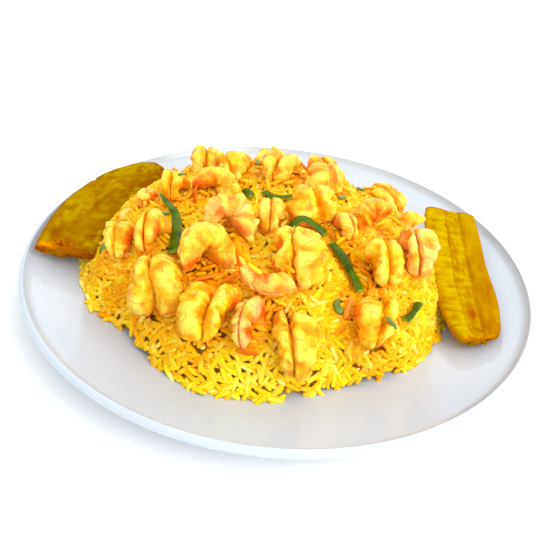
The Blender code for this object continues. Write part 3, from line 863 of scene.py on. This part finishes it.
# Angles in degrees, sizes in mm; pink and red are shares of flesh and shell colour, open is how far the back is cut
# open and knob how knobbly it is; shrimp_01 first
SHRIMPS = tuple(Shrimp(*row) for row in (
    (95, 0, -20, 215, 25, 24, 0, 0.1, 0.0, 0.5, 0.8),
    (84, 0, -15, 210, 25, 25, 6, 0.1, 0.0, 0.7, 0.8),
    (-84, 0, -15, 210, 24, 22, 0, 0.3, 0.0, 0.6, 1.0),
    (15, -45, -80, 250, 28, 17, 7, 0.1, 0.1, 0.3, 0.7),
    (82, 0, -10, 200, 22, 16, 0, 0.0, 0.0, 0.5, 0.8),
    (70, 0, 0, 190, 14, 11, 0, 0.2, 0.0, 0.3, 0.6),
    (25, -45, -60, 250, 28, 18, 0, 0.5, 0.05, 0.4, 0.9),
    (88, 0, -20, 210, 24, 15, 0, 0.3, 0.0, 0.3, 0.7),
    (-88, 0, -15, 210, 26, 28, 0, 0.0, 0.0, 0.9, 0.6),
    (110, 0, -15, 210, 18, 12, 0, 0.3, 0.0, 0.5, 0.8),
    (5, -50, 40, 260, 27, 18, 0, 0.1, 0.0, 0.3, 1.0),
    (30, -35, 20, 230, 19, 13, 0, 0.1, 0.1, 0.3, 0.8),
    (92, 0, -20, 220, 31, 22, 0, 0.8, 0.0, 0.5, 0.9),
    (108, 0, -20, 215, 29, 22, 0, 0.0, 0.0, 0.5, 1.2),
    (-84, 0, -20, 220, 31, 28, 0, 0.1, 0.0, 0.05, 1.7),
    (170, 70, -145, 105, 37, 12, 7, 0.6, 0.5, 0.0, 0.5),
    (50, -30, -70, 265, 31, 21, 0, 0.1, 0.05, 0.2, 0.8),
    (80, 0, -20, 215, 28, 14, 0, 0.2, 0.1, 0.6, 0.6),
    (100, 0, -15, 205, 24, 15, 0, 0.1, 0.0, 0.3, 0.8),
    (-86, 0, -20, 225, 32, 26, 0, 0.1, 0.0, 0.6, 0.8),
    (78, -5, -20, 220, 32, 28, 0, 0.0, 0.0, 0.9, 0.7),
    (75, -20, -20, 220, 27, 12, 6, 0.9, 0.3, 0.5, 0.6),
    (95, 0, -25, 230, 33, 24, 0, 0.1, 0.0, 0.8, 0.7),
    (90, 0, -15, 210, 29, 24, 0, 0.0, 0.0, 0.6, 0.9),
    (-75, 0, -15, 210, 28, 22, 0, 0.1, 0.0, 0.5, 0.9),
    (-95, 0, -15, 210, 28, 24, 0, 0.2, 0.0, 0.5, 0.9),
    (-60, 10, -15, 220, 28, 20, 0, 0.1, 0.0, 0.5, 0.9),
    (-30, 20, -15, 220, 28, 20, 0, 0.2, 0.0, 0.5, 0.9),
))
SHRIMP_RINGS = 76
HALF_SIDES = 20
# Half a section from the cut in the back over the lobe to the belly
HALF_SECTION = ((0.0, -0.1), (0.08, 0.35), (0.2, 0.8), (0.42, 1.0), (0.7, 0.87), (0.89, 0.5),
                (0.99, 0.0), (0.86, -0.55), (0.4, -0.88), (0.0, -0.95))
# The plain form that each node has, for placing the fine one
PLAIN_SECTION = np.array(((0, 0.4), (0.45, 1), (1, 0.4), (0.75, -0.6), (0, -0.95),
                          (-0.75, -0.6), (-1, 0.4), (-0.45, 1)))
TAPER = 0.38
SPIRAL = 0.16
THICKNESS = 0.46


def slimness(t, end):
    """How thick the body still is along it, coming down to end at both ends."""
    return (1 - TAPER * t) * (end + (1 - end) * np.sqrt(1 - np.abs(2 * t - 1) ** 5))


def on_curl(shrimp, t, across, upward, thick):
    """Points of the curled body from places in its section."""
    angle = np.radians(shrimp.start + shrimp.curl * t)
    reach = shrimp.size / 2 * MM * (1 - SPIRAL * t) - thick / 2 + upward
    return stacked(reach * np.cos(angle), across, reach * np.sin(angle))


def plain_form(shrimp):
    """The points of the node's own plain form."""
    t = np.linspace(0, 1, 9)[:, None]
    slim = slimness(t, 0.55)
    thick = THICKNESS * shrimp.size * MM * slim
    u, v = PLAIN_SECTION.T
    points = on_curl(shrimp, t, u * shrimp.width * MM / 2 * slim, v * thick / 2, thick)
    if not shrimp.tail:
        return points.reshape(-1, 3)
    late = 1 + shrimp.tail / (shrimp.size / 2 * math.radians(shrimp.curl))
    end = on_curl(shrimp, late, np.array((-4.5, 4.5)) * MM, 0, thick[-1])
    return np.concatenate([points.reshape(-1, 3), end])


def seams(t, v, side, around, count, rng):
    """Grooves between the muscle segments, each half with its own, slanted and fading out along them."""
    depth = 0 * t * v
    for half in (-1, 1):
        places = np.cumsum(rng.uniform(0.6, 1.4, count + 1))
        for place in places[:-1] / places[-1]:
            offset = t - place - rng.uniform(0.01, 0.07) * (1 - v) - 0.03 * np.sin(4 * around + rng.uniform(0, 6))
            fade = 0.5 + 0.5 * np.sin(rng.uniform(2, 6) * np.abs(around) + rng.uniform(0, 6))
            strength = np.where(side == half, rng.uniform(0.3, 1) * fade, 0)
            depth = np.maximum(depth, strength * np.exp(-(np.abs(offset) / 0.034) ** 1.3))
    return depth


def shrimp_form(shrimp, seed):
    """The points of the fine form, their tones, and where each lies on the skin."""
    rng = np.random.default_rng(seed + 40)
    t = np.linspace(0, 1, SHRIMP_RINGS)[:, None]
    half = spline(HALF_SECTION, np.linspace(0, 1, HALF_SIDES))
    u, v = np.concatenate([half, half[-2:0:-1] * (-1, 1)]).T[:, None]
    around = np.concatenate([np.linspace(0, 1, HALF_SIDES), np.linspace(-1, 0, HALF_SIDES)[1:-1]])[None]
    side = np.sign(around + 1e-9)
    slim = slimness(t, 0.64)
    lying = abs(shrimp.lean) > 25
    thick = THICKNESS * shrimp.size * MM * slim * (0.66 if shrimp.size > 35 else 1.15 if lying else 1)
    wide = shrimp.width * MM * slim

    length = shrimp.size * math.radians(shrimp.curl) / 2
    flat = stacked(t * length, around * shrimp.width * 1.3, 7.0 * seed + 0 * u)
    large = lumps(flat, 10.0)
    strands = lumps(flat * (0.7, 2.6, 1), 8.0, 3.1)
    wrinkled = smoothstep(-0.1, 0.4, lumps(flat, 13.0, 5.9))
    wrinkles = lumps(flat * (4, 0.8, 1), 8.0, 8.7)

    depth = seams(t, v, side, around, 6 if lying else rng.integers(3, 6), rng)
    wander = rng.uniform(0.15, 0.45) * np.sin(rng.uniform(1.5, 4) * t + rng.uniform(0, 6))
    uneven = 1 + side * rng.uniform(-0.16, 0.16) * np.minimum(1, np.abs(u) * 3)
    knobs = lumps(flat, 6.0, 17.7)
    open_cut = smoothstep(0.0, 0.25, t) * (1 - smoothstep(0.7, 0.95, t)) * shrimp.open
    open_cut = open_cut * (0.75 + 0.5 * large.mean(1)[:, None])
    near_cut = np.where(v > 0, np.maximum(0, 1 - np.abs(u) / 0.34), 0)
    lifted = v + (1 - open_cut) * near_cut * 0.7
    swell = (1 - 0.33 * depth * (v > -0.6)) * uneven
    shifted = u + wander * (1 - u ** 2) * (v > 0)
    twist = math.radians(rng.uniform(-24, 24)) * (2 * t - 1)
    splay = side * rng.uniform(0.2, 1.8) * MM * (1 - smoothstep(0, 0.45, t)) * (v > -0.6)
    a, b = shifted * wide / 2 * swell, lifted * thick / 2 * swell
    across, upward = a * np.cos(twist) - b * np.sin(twist) + splay, a * np.sin(twist) + b * np.cos(twist)
    lag = side * rng.uniform(-0.035, 0.035) * np.minimum(1, np.abs(u) * 2.5)
    points = on_curl(shrimp, t + lag, across, upward, thick)
    outward = unit(points - on_curl(shrimp, t + lag, 0 * across, 0 * upward, thick))
    relief = shrimp.knob * (1.8 * large + 1.4 * knobs) + 0.25 * strands + 0.9 * wrinkles * wrinkled
    points = points + outward * (relief * (1 - smoothstep(0.93, 1, t)) * MM)[..., None]

    # Painted highlight: the tops of the lobes, the bumps and the upper side of a lying shrimp are paler, partly the
    # pale flesh.
    lobes = np.exp(-((np.abs(u) - 0.5) / 0.33) ** 2) * (v > 0.1)
    pale_crest_and_highlight = lobes * (1 - depth) * (0.5 + 1.4 * large + 1.2 * knobs + 0.6 * strands)
    pale_crest_and_highlight = np.clip(0.25 * lying * (v > -0.7) * (1 - depth) + pale_crest_and_highlight + 0.6 * wrinkles * wrinkled, 0, 1)
    cut = np.exp(-(u / 0.14) ** 2) * (v > 0) * open_cut
    # Painted shade: orange in the seams, the cut and under the body, less on bumps; partly the seams' own colour.
    groove_and_shade = 0.9 * depth ** 1.5 + 0.6 * cut + (0.1 if lying else 0.5) * (v < -0.3) - 1.1 * knobs - 0.9 * large
    groove_and_shade = np.clip(groove_and_shade + 0.8 * smoothstep(0.05, 0.4, -wrinkles) * wrinkled, 0, 1)
    patches = lumps(flat, 11.0, 12.3)
    edge = np.exp(-((np.abs(u) - 0.97) / 0.12) ** 2) * (np.abs(v) < 0.75)
    ends = smoothstep(0.88, 1.0, t) + 0.8 * (1 - smoothstep(0.0, 0.07, t))
    red = smoothstep(-0.05, 0.4, patches) * ((0.3 if lying else 0.75) * edge + 0.5 * (v < -0.3) + 0.2 * cut)
    red = np.clip(red + ends * (0.4 + patches) + shrimp.red * (0.5 + 1.2 * patches), 0, 1)
    flesh = np.clip(shrimp.pink * (0.7 + 1.1 * large) + 0 * u, 0, 1)
    tones = stacked(pale_crest_and_highlight, groove_and_shade, red, flesh)
    return points, tones, flat * MM


BLADE_WIDTHS = (0.35, 0.5, 0.75, 1.0, 1.0, 0.85, 0.55)


def tail_blades(shrimp, seed):
    """Three flat blades that fan out where the tail ends."""
    rng = np.random.default_rng(seed)
    angle = math.radians(shrimp.start + shrimp.curl)
    outward = np.array((math.cos(angle), 0, math.sin(angle)))
    ahead = np.array((-math.sin(angle), 0, math.cos(angle)))
    root = outward * (shrimp.size / 2 * (1 - SPIRAL) - THICKNESS * shrimp.size * (1 - TAPER) * 0.3) * MM
    reach = (shrimp.tail + 4) * MM
    steps = np.linspace(0, 1, 13)[:, None]
    turn = np.arange(14) * math.tau / 14
    rings, poles = [], []
    for spread in (-26, 2, 27):
        spread = math.radians(spread + rng.uniform(-5, 5))
        along = ahead * math.cos(spread) + np.array((0, 1, 0)) * math.sin(spread)
        across = np.cross(outward, along)
        centre = root + along * (steps * 1.02 - 0.12) * reach + outward * 1.2 * MM * np.sin(steps * 3)
        wide = spline(BLADE_WIDTHS, steps[:, 0])[:, None] * 2.3 * MM
        rings.append(centre[:, None] + across * (wide * np.cos(turn))[..., None]
                     + outward * (0.75 * MM * (1 - 0.4 * steps) * np.sin(turn))[..., None])
        poles.append(np.stack([centre[0] - along * 0.5 * MM, centre[-1] + along * 0.7 * MM]))
    return np.array(rings), np.array(poles)


def make_shrimps():
    material = shrimp_material()
    tails = []
    for number, shrimp in enumerate(SHRIMPS, 1):
        node = f"shrimp_{number:02d}"
        heading, lean = math.radians(shrimp.heading), math.radians(shrimp.lean)
        turn = np.array((Matrix.Rotation(heading, 3, "Z") @ Matrix.Rotation(lean, 3, "X")))
        plain = plain_form(shrimp) @ turn.T
        shift = box_centre(node) - (plain.min(0) + plain.max(0)) / 2
        points, tones, skin = shrimp_form(shrimp, number)
        one_body(f"shrimp_flesh_{number:02d}", node, points @ turn.T + shift, material, tones, skin)
        if shrimp.tail:
            tails.append([form @ turn.T + shift for form in tail_blades(shrimp, number)])
    rings, poles = (np.concatenate([tail[k] for tail in tails]) for k in (0, 1))
    share = np.linspace(0, 1, rings.shape[1])[None, :, None]
    tones = np.zeros((*rings.shape[:3], 4))
    tones[..., 1] = 0.5
    tones[..., 2] = 0.55 + 0.45 * share
    pole_tones = np.stack([tones[:, 0, 0], tones[:, -1, 0]], 1)
    ring_bodies("shrimp_tails", rings, poles, material, tones, pole_tones)


# ---------------------------------------------------------------- plantain slices

Station = namedtuple("Station", "x y half_width inner outer")
PLANTAIN_LEFT = tuple(Station(*row) for row in (
    (-115, -28, 14.5, 23, 29),
    (-115, -4, 17.5, 24, 30),
    (-112, 20, 17.5, 25, 31),
    (-105, 44, 16.5, 27, 32),
    (-94, 64, 12, 29, 32),
    (-87, 72, 6, 30, 31),
))
PLANTAIN_RIGHT = tuple(Station(*row) for row in (
    (103, -57, 9, 20, 22),
    (102, -47, 13.5, 21, 22),
    (102, -22, 17, 23, 23),
    (103, 8, 17, 25, 24),
    (104, 38, 17, 30, 28),
    (105, 52, 16, 32, 30),
))
PLANTAIN_THICKNESS = 5.6 * MM
SLICE_LENGTH = 110 * MM
SLICE_HALF_WIDTH = 17 * MM
SLICE_RINGS = 110
SLICE_TOP = 41
SLICE_UNDER = 15


def slice_section():
    """Where the points round a section lie across it and how high: over the top and back below."""
    top = np.sin(np.linspace(-1, 1, SLICE_TOP) * math.pi / 2 * 0.94)
    top = top / top.max()
    under = np.linspace(0.97, -0.97, SLICE_UNDER)
    high = 0.5 * (1 - np.abs(top) ** 9) ** 0.5 - 0.02
    low = -0.5 * (1 - np.abs(under) ** 6) ** 0.5
    return np.concatenate([top, under]), np.concatenate([high, low])


def make_slice(name, stations, side, dress, seed, painted_shade):
    """side turns across, so that a station's outer height is at the plate's rim."""
    t = np.linspace(0, 1, SLICE_RINGS)[:, None]
    x, y, half, inner, outer = (spline([row[k] for row in stations], t[:, 0])[:, None] * MM for k in range(5))
    along = unit(np.concatenate([np.gradient(x[:, 0])[:, None], np.gradient(y[:, 0])[:, None]], 1))
    across = np.stack([along[:, 1], -along[:, 0]], 1) * side
    s, level = slice_section()
    s, level = s[None], level[None]
    relief, tones, width_shift, end_shift = dress(t, s, seed)
    wide = half * (s + width_shift)
    forward = end_shift * MM
    height = inner + (outer - inner) * (s + 1) / 2 + level * PLANTAIN_THICKNESS
    height = height + relief * (level > 0.02) * MM
    points = np.stack([x + across[:, :1] * wide + along[:, :1] * forward,
                       y + across[:, 1:] * wide + along[:, 1:] * forward, height + 0 * wide], -1)
    # The slice's sides take the rim colour: the fried edge, and painted light that keeps the sides out of the painted
    # shade.
    tones[..., 3] = np.maximum(tones[..., 3], 0.3 * (1 - smoothstep(0.1, 0.42, level)))
    skin = stacked(t * SLICE_LENGTH, s * SLICE_HALF_WIDTH, 0.05 * seed)
    one_body(name + "_fried", name, points, plantain_material("fried_" + name, painted_shade), tones, skin)


def blotches(t, s, length, width, seed):
    """Lumps of about that length and width in mm over a slice."""
    return lumps(stacked(t * 110 / length, s * 17 / width, seed), 1.0)


def spot(t, s, at, across, long, wide):
    """1 at a place on the slice, falling off around it."""
    return np.exp(-((t - at) / long) ** 2 - ((s - across) / wide) ** 2)


def wavering(t, s, seed):
    """How a slice's two sides waver, as a share of its width."""
    return 0.03 * blotches(t, np.sign(s), 12, 4, seed + 2) * np.abs(s)


def dress_left(t, s, seed):
    """Relief in mm, tones and outline shifts of the left slice.

    It is olive gold in soft blotches, and crusted at its near end."""
    broad = blotches(t, s, 17, 9, seed)
    small = blotches(t, s, 5, 3.5, seed + 5)
    grain = blotches(t, s, 2.2, 1.4, seed + 9)
    line = s - 0.12 + 0.25 * t - 0.1 * np.sin(5 * t)
    along = smoothstep(0.18, 0.32, t) * smoothstep(0.9, 0.7, t)
    seeds = np.exp(-(line / 0.045) ** 2) * along * smoothstep(-0.15, 0.25, grain)
    outer = smoothstep(0.0, 0.3, line) * smoothstep(1.0, 0.85, s) * smoothstep(0.08, 0.2, t)
    near = smoothstep(0.12, 0.0, t)
    crust = spot(t, s, 0.045, 0.12, 0.035, 0.34) * (1.0 + 3.0 * grain)
    crust = np.maximum(crust, 0.9 * spot(t, s, 0.02, 1.0, 0.05, 0.12))
    crust = np.maximum(crust, 1.3 * spot(t, s, 0.14, -0.62, 0.012, 0.09))
    crust = np.maximum(crust, 0.8 * smoothstep(0.022, 0.006, t) * smoothstep(0.5, 0.2, s) * (0.6 + 2 * grain))
    relief = 0.6 * broad + 0.3 * small + 0.45 * seeds + 1.5 * grain * spot(t, s, 0.045, 0.1, 0.05, 0.4)
    pale = 0.45 * outer + 1.1 * broad + 1.0 * small + 0.9 * seeds
    brown = (0.6 * smoothstep(0.1, -0.85, s) + 0.5 * smoothstep(0.85, 1, np.abs(s)) - 0.7 * broad - 0.6 * small
             + 0.6 * np.exp(-((line + 0.13) / 0.06) ** 2) * along + 0.7 * smoothstep(0.93, 1, t)
             + 0.8 * spot(t, s, 0.11, 0.3, 0.035, 0.45))
    # A bright orange band at the near end: the fried edge, partly painted light where the end faces the light.
    fried_end_and_light = smoothstep(0.055, 0.025, t) * np.maximum(smoothstep(0.15, 0.4, s), 0.12)
    outline = wavering(t, s, seed) - 0.1 * spot(t, s, 0.55, 1, 0.012, 0.3)
    ends = near * (1.6 * blotches(0 * t, s, 5, 6, seed + 3) - 3.5 * s)
    return relief, np.clip(stacked(pale, brown, crust, fried_end_and_light), 0, 1), outline, ends


def dress_right(t, s, seed):
    """The right slice: three bands, the left one pale with fine cross lines, and brown round its seeds."""
    bend = 0.06 * np.sin(5 * t + 1)
    left, right = smoothstep(-0.22, -0.34, s + bend), smoothstep(0.2, 0.32, s + bend)
    middle = 1 - left - right
    cross = blotches(t, s, 2.6, 9, seed)
    broad = blotches(t, s, 22, 5, seed + 4)
    small = blotches(t, s, 4, 2, seed + 5)
    grooves = np.exp(-((s + bend + 0.28) / 0.04) ** 2) + np.exp(-((s + bend - 0.26) / 0.04) ** 2)
    stain = np.maximum(spot(t, s, 0.27, 0.0, 0.07, 0.16), 0.85 * spot(t, s, 0.14, 0.1, 0.05, 0.25))
    stain = stain * (0.75 + 1.2 * small)
    relief = 0.6 * cross * left + 0.35 * cross * middle - 0.6 * grooves - 0.5 * middle + 0.35 * broad
    pale = (left * (0.8 + 1.3 * cross) + middle * (0.4 + 1.3 * small + 0.7 * cross) + 0.15 * right
            + 0.5 * smoothstep(0.6, 0.95, t) * right + 0.3 * broad)
    brown = (1.3 * stain + 0.8 * grooves * (0.8 + small) + right * (0.5 - 0.4 * t + 0.6 * broad)
             + 0.8 * smoothstep(0.955, 1, t) + 0.6 * smoothstep(0.9, 1, np.abs(s))
             + 0.5 * smoothstep(0.12, 0, t) * (0.6 + 2 * small))
    crust = (1.1 * spot(t, s, 0.26, 0.02, 0.02, 0.07) + 0.7 * spot(t, s, 0.12, 0.12, 0.012, 0.09)
             + 0.5 * smoothstep(0.98, 1, t) * (0.5 + small))
    ends = 1.5 * blotches(0 * t, s, 5, 5, seed + 3) + 2.4 * smoothstep(0.45, 0.6, s)
    ends = (1 - smoothstep(0, 0.07, t)) * ends
    # Bright bands at both ends: the fried edges, partly painted light.
    fried_end_and_light = smoothstep(0.07, 0.02, t) * (0.6 + small) + 0.5 * smoothstep(0.98, 1, t)
    return relief, np.clip(stacked(pale, brown, crust, fried_end_and_light), 0, 1), wavering(t, s, seed), ends


# ---------------------------------------------------------------- peppers

STRIP_THICKNESS = 2.2 * MM
Strip = namedtuple("Strip", "width points")
PEPPER_STRIPS = tuple(Strip(*row) for row in (
    (5, ((-67, -9), (-62, -14), (-57, -19), (-54, -30), (-53, -46))),
    (5, ((-24, 14), (-22, 10), (-20, 5))),
    (5, ((-14, 14), (-9, 10), (-3, 9.5), (3, 12), (9, 16))),
    (5, ((2, -34), (3, -29), (5.5, -25.5), (10, -24), (16, -23.8), (22, -24.5))),
    (4, ((24, -30), (28, -35), (31, -40), (34, -46), (37, -51), (40, -56))),
    (4, ((63, -59), (67, -54), (72, -45))),
))
# Across a strip: the skin outside, arched, and the pale flesh inside it
STRIP_SECTION = np.array(((1.0, -0.2), (0.97, 0.25), (0.78, 0.55), (0.4, 0.8), (0, 0.9), (-0.4, 0.8), (-0.78, 0.55),
                          (-0.97, 0.25), (-1.0, -0.2), (-0.85, -0.6), (-0.4, -0.35), (0, -0.25), (0.4, -0.35),
                          (0.85, -0.6)))
STRIP_RINGS = 44
STRIP_SMOOTHING = 20


def make_peppers():
    material = pepper_material()
    t = np.linspace(0, 1, STRIP_RINGS)
    for number, strip in enumerate(PEPPER_STRIPS, 1):
        node = f"pepper_strip_{number:02d}"
        tree = tree_of(node)
        path = spline(strip.points, 0.02 + 0.96 * t) * MM
        height = np.array([top_at(tree, x, y) for x, y in path])
        known = ~np.isnan(height)
        height = np.interp(t, t[known], height[known])
        for _ in range(STRIP_SMOOTHING):
            height[1:-1] = (height[:-2] + 2 * height[1:-1] + height[2:]) / 4
        centre = np.column_stack([path, height - STRIP_THICKNESS / 2])
        along = unit(np.gradient(centre, axis=0))
        across = unit(np.cross(along, UP))
        normal = np.cross(across, along)
        section = STRIP_SECTION
        wavy = 1 + 0.1 * np.sin(9 * t + number)
        blunt = np.sqrt(np.clip(1 - np.abs(2 * t - 1) ** 24, 0, 1)) * 0.3 + 0.7
        if number == 1:
            blunt = blunt * (0.45 + 0.55 * smoothstep(0, 0.35, t))
        wide = (strip.width / 2 * MM * wavy * blunt)[:, None]
        thick = (STRIP_THICKNESS / 2 * blunt)[:, None]
        roll = 0.35 * np.sin(3 * t + 2 * number)[:, None]
        a, b = section[:, 0] * wide, section[:, 1] * thick
        a, b = a * np.cos(roll) - b * np.sin(roll), a * np.sin(roll) + b * np.cos(roll)
        points = centre[:, None] + across[:, None] * a[..., None] + normal[:, None] * b[..., None]
        tones = np.zeros((*points.shape[:2], 4))
        tones[..., 0] = section[:, 1] > -0.1
        tones[..., 1] = np.exp(-((section[:, 1] + 0.35) / 0.3) ** 2)
        tones[:2, :, 1] = tones[-2:, :, 1] = 1
        one_body(f"pepper_skin_{number:02d}", node, points, material, tones)


# ---------------------------------------------------------------- small toppings

Bit = namedtuple("Bit", "x y long wide thick yaw bend")
GREEN_BITS = tuple(Bit(*row) for row in (
    (31, 17, 5, 3, 1.6, 40, 0.1),
    (30, -64, 7, 3.4, 1.6, 110, 0.2),
    (52, -78, 6, 3, 1.4, 10, 0.1),
    (-93, -26, 7, 5, 2, 20, 0.2),
    (-58, 3, 4, 2.5, 1.4, 60, 0.1),
    (-61, -27, 9, 5, 2, 140, 0.3),
    (-20, 60, 6, 3, 1.4, 70, 0.2),
    (44, 44, 5, 3, 1.5, 15, 0.2),
    (-64, 40, 6, 3, 1.5, 95, 0.1),
))
ORANGE_SHREDS = tuple(Bit(*row) for row in (
    (34, -65, 10, 2.6, 2, 75, 0.02),
    (-32, -63, 15, 3.2, 1.2, 8, 0.05),
    (-20, -66, 12, 3.2, 1.2, -10, 0.05),
    (8, 40, 9, 3, 1.6, 20, 0.1),
))
ONION_BITS = tuple(Bit(x, y, long, 5, 1.6, yaw, 0.3) for x, y, long, yaw in (
    (-44, 14, 9, 20), (-14, -37, 9, 80), (-78, 2, 8, 130), (-89, 1, 8, 60), (-21, -56, 10, 10),
    (52, 20, 8, 30), (6, 56, 9, 150), (-70, 50, 8, 75),
))


def squared(value):
    """The cosine or sine of a circle made squarer."""
    return np.sign(value) * np.abs(value) ** 0.6


def make_bits(name, bits, material, heights, seed):
    rng = np.random.default_rng(seed)
    t = np.linspace(0, 1, 9)
    full = (1 - np.abs(2 * t - 1) ** 6) ** 0.5 * 0.6 + 0.4
    turn = np.arange(10) * math.tau / 10
    rings, poles = [], []
    for bit in bits:
        yaw = math.radians(bit.yaw)
        ahead, aside = np.array((math.cos(yaw), math.sin(yaw))), np.array((-math.sin(yaw), math.cos(yaw)))
        s = (t - 0.5) * bit.long * MM
        line = np.array((bit.x, bit.y)) * MM + s[:, None] * ahead
        line = line + (bit.bend * bit.long * MM * (1 - (2 * t - 1) ** 2))[:, None] * aside
        under = heights[cell_of(line[:, 0]), cell_of(line[:, 1])]
        tilt, level = np.polyfit(s, under, 1)
        tilt = float(np.clip(tilt, -1, 1))
        lift = np.percentile(under - tilt * s, 70) + bit.thick * 0.35 * MM
        centre = np.column_stack([line, lift + tilt * s])
        uneven = 1 + rng.normal(0, 0.08, (len(t), len(turn)))
        wide, thick = full[:, None] * bit.wide / 2 * MM * uneven, full[:, None] * bit.thick / 2 * MM * uneven
        roll = rng.uniform(-0.4, 0.4)
        across = np.array((*aside * math.cos(roll), math.sin(roll)))
        normal = np.cross(np.array((*ahead, tilt)) / math.hypot(1, tilt), across)
        rings.append(centre[:, None] + across * (wide * squared(np.cos(turn)))[..., None]
                     + normal * (thick * squared(np.sin(turn)))[..., None])
        poles.append(np.stack([rings[-1][0].mean(0), rings[-1][-1].mean(0)]))
    ring_bodies(name, np.array(rings), np.array(poles), material)


# ---------------------------------------------------------------- light, floor and camera

SKY = (0.96, 0.985, 1, 1)
SKY_STRENGTH = 1.18
LIGHTS = (("key", (0.7, -0.56, 0.76), 0.8, 10.4), ("fill", (0.1, 0.8, 0.8), 0.9, 2.5))  # name, place, size, power


def make_stage():
    floor_mesh = bpy.data.meshes.new("floor")
    floor_mesh.from_pydata([(-4, -4, 0), (4, -4, 0), (4, 4, 0), (-4, 4, 0)], [], [(0, 1, 2, 3)])
    surface = Surface("pale_floor", roughness=0.9, specular=0.1)
    surface.colour(surface.ramp(surface.noise(0.2), (0.0, (246, 246, 246)), (1.0, (249, 249, 249))))
    floor_mesh.materials.append(surface.material)
    add_object("floor", floor_mesh)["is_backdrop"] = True
    world = bpy.data.worlds.new("studio")
    world.use_nodes = True
    sky = world.node_tree.nodes["Background"].inputs
    sky["Color"].default_value = SKY
    sky["Strength"].default_value = SKY_STRENGTH
    bpy.context.scene.world = world
    for name, place, size, power in LIGHTS:
        light = bpy.data.lights.new(name, "AREA")
        light.size = size
        light.energy = power
        lamp = add_object(name, light)
        lamp.location = place
        lamp.rotation_euler = (-Vector(place)).to_track_quat("-Z", "Y").to_euler()


# The view that makes the rim of the plate the ellipse it is in the photograph
CAMERA_PLACE = Vector((0, -0.26911, 0.17682 + RIM_HEIGHT))
CAMERA_AIM = Vector((-0.00092, -0.02923, RIM_HEIGHT))
CAMERA_ROLL = math.radians(6.1)
SENSOR = 36
FOCAL_SHARE = 560.1 / 554     # focal length over the picture's width


def make_camera():
    camera = bpy.data.cameras.new("camera")
    camera.sensor_width = SENSOR
    camera.lens = SENSOR * FOCAL_SHARE
    camera.clip_start = 0.01
    forward = (CAMERA_AIM - CAMERA_PLACE).normalized()
    right = forward.cross(Vector(UP)).normalized()
    up = right.cross(forward)
    cos, sin = math.cos(CAMERA_ROLL), math.sin(CAMERA_ROLL)
    turned = Matrix((cos * right + sin * up, cos * up - sin * right, -forward)).transposed()
    eye = add_object("camera", camera)
    eye.matrix_world = Matrix.Translation(CAMERA_PLACE) @ turned.to_4x4()
    bpy.context.scene.camera = eye


make_plate()
ground, target = heap_heights()
core = make_core(ground, target)
pile = Pile(np.maximum(ground, core), grain_limit(ground, target), 7)
pile.lay_bed(ground, BED_SPACING)
bed = len(pile.grains)
pile.lay_bed(ground, RIM_SPACING, steepest_only=True)
rim = len(pile.grains)
pile.fill()
fallen = len(pile.grains)
make_rice(pile, pile.grains[:bed], "rice_under", RICE_KINDS, 20, PLAIN)
make_rice(pile, pile.grains[bed:rim], "rice_rim", RICE_KINDS, 23, PLAIN)
make_rice(pile, pile.grains[rim:], "rice", RICE_KINDS, 21, FINE)
food = food_heights(pile.heights)
pile.sprinkle(food, LOOSE_TRIES)
make_rice(pile, pile.grains[fallen:], "rice_loose", RICE_KINDS[:2], 22, FINE)
make_shrimps()
# The left slice gets a deeper painted shade than the right one.
make_slice("plantain_left", PLANTAIN_LEFT, -1, dress_left, seed=3.0, painted_shade=0.4)
make_slice("plantain_right", PLANTAIN_RIGHT, 1, dress_right, seed=8.0, painted_shade=0.52)
make_peppers()
for name, bits, seed, low, high, finish in (
        ("green_bit", GREEN_BITS, 4, (60, 96, 6), (110, 140, 20), {"coat": 0.3}),
        ("orange_shred", ORANGE_SHREDS, 5, (240, 110, 2), (255, 160, 10), {"scatter": 0.2}),
        ("onion_bit", ONION_BITS, 6, (236, 196, 30), (250, 216, 90), {"scatter": 0.3, "coat": 0.2})):
    make_bits(name + "s", bits, plain_material(name, low, high, **finish), food, seed)
make_stage()
make_camera()
bpy.context.scene.view_settings.view_transform = "Standard"

[[list(corner) for corner in box] for box in (cad_box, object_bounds())]
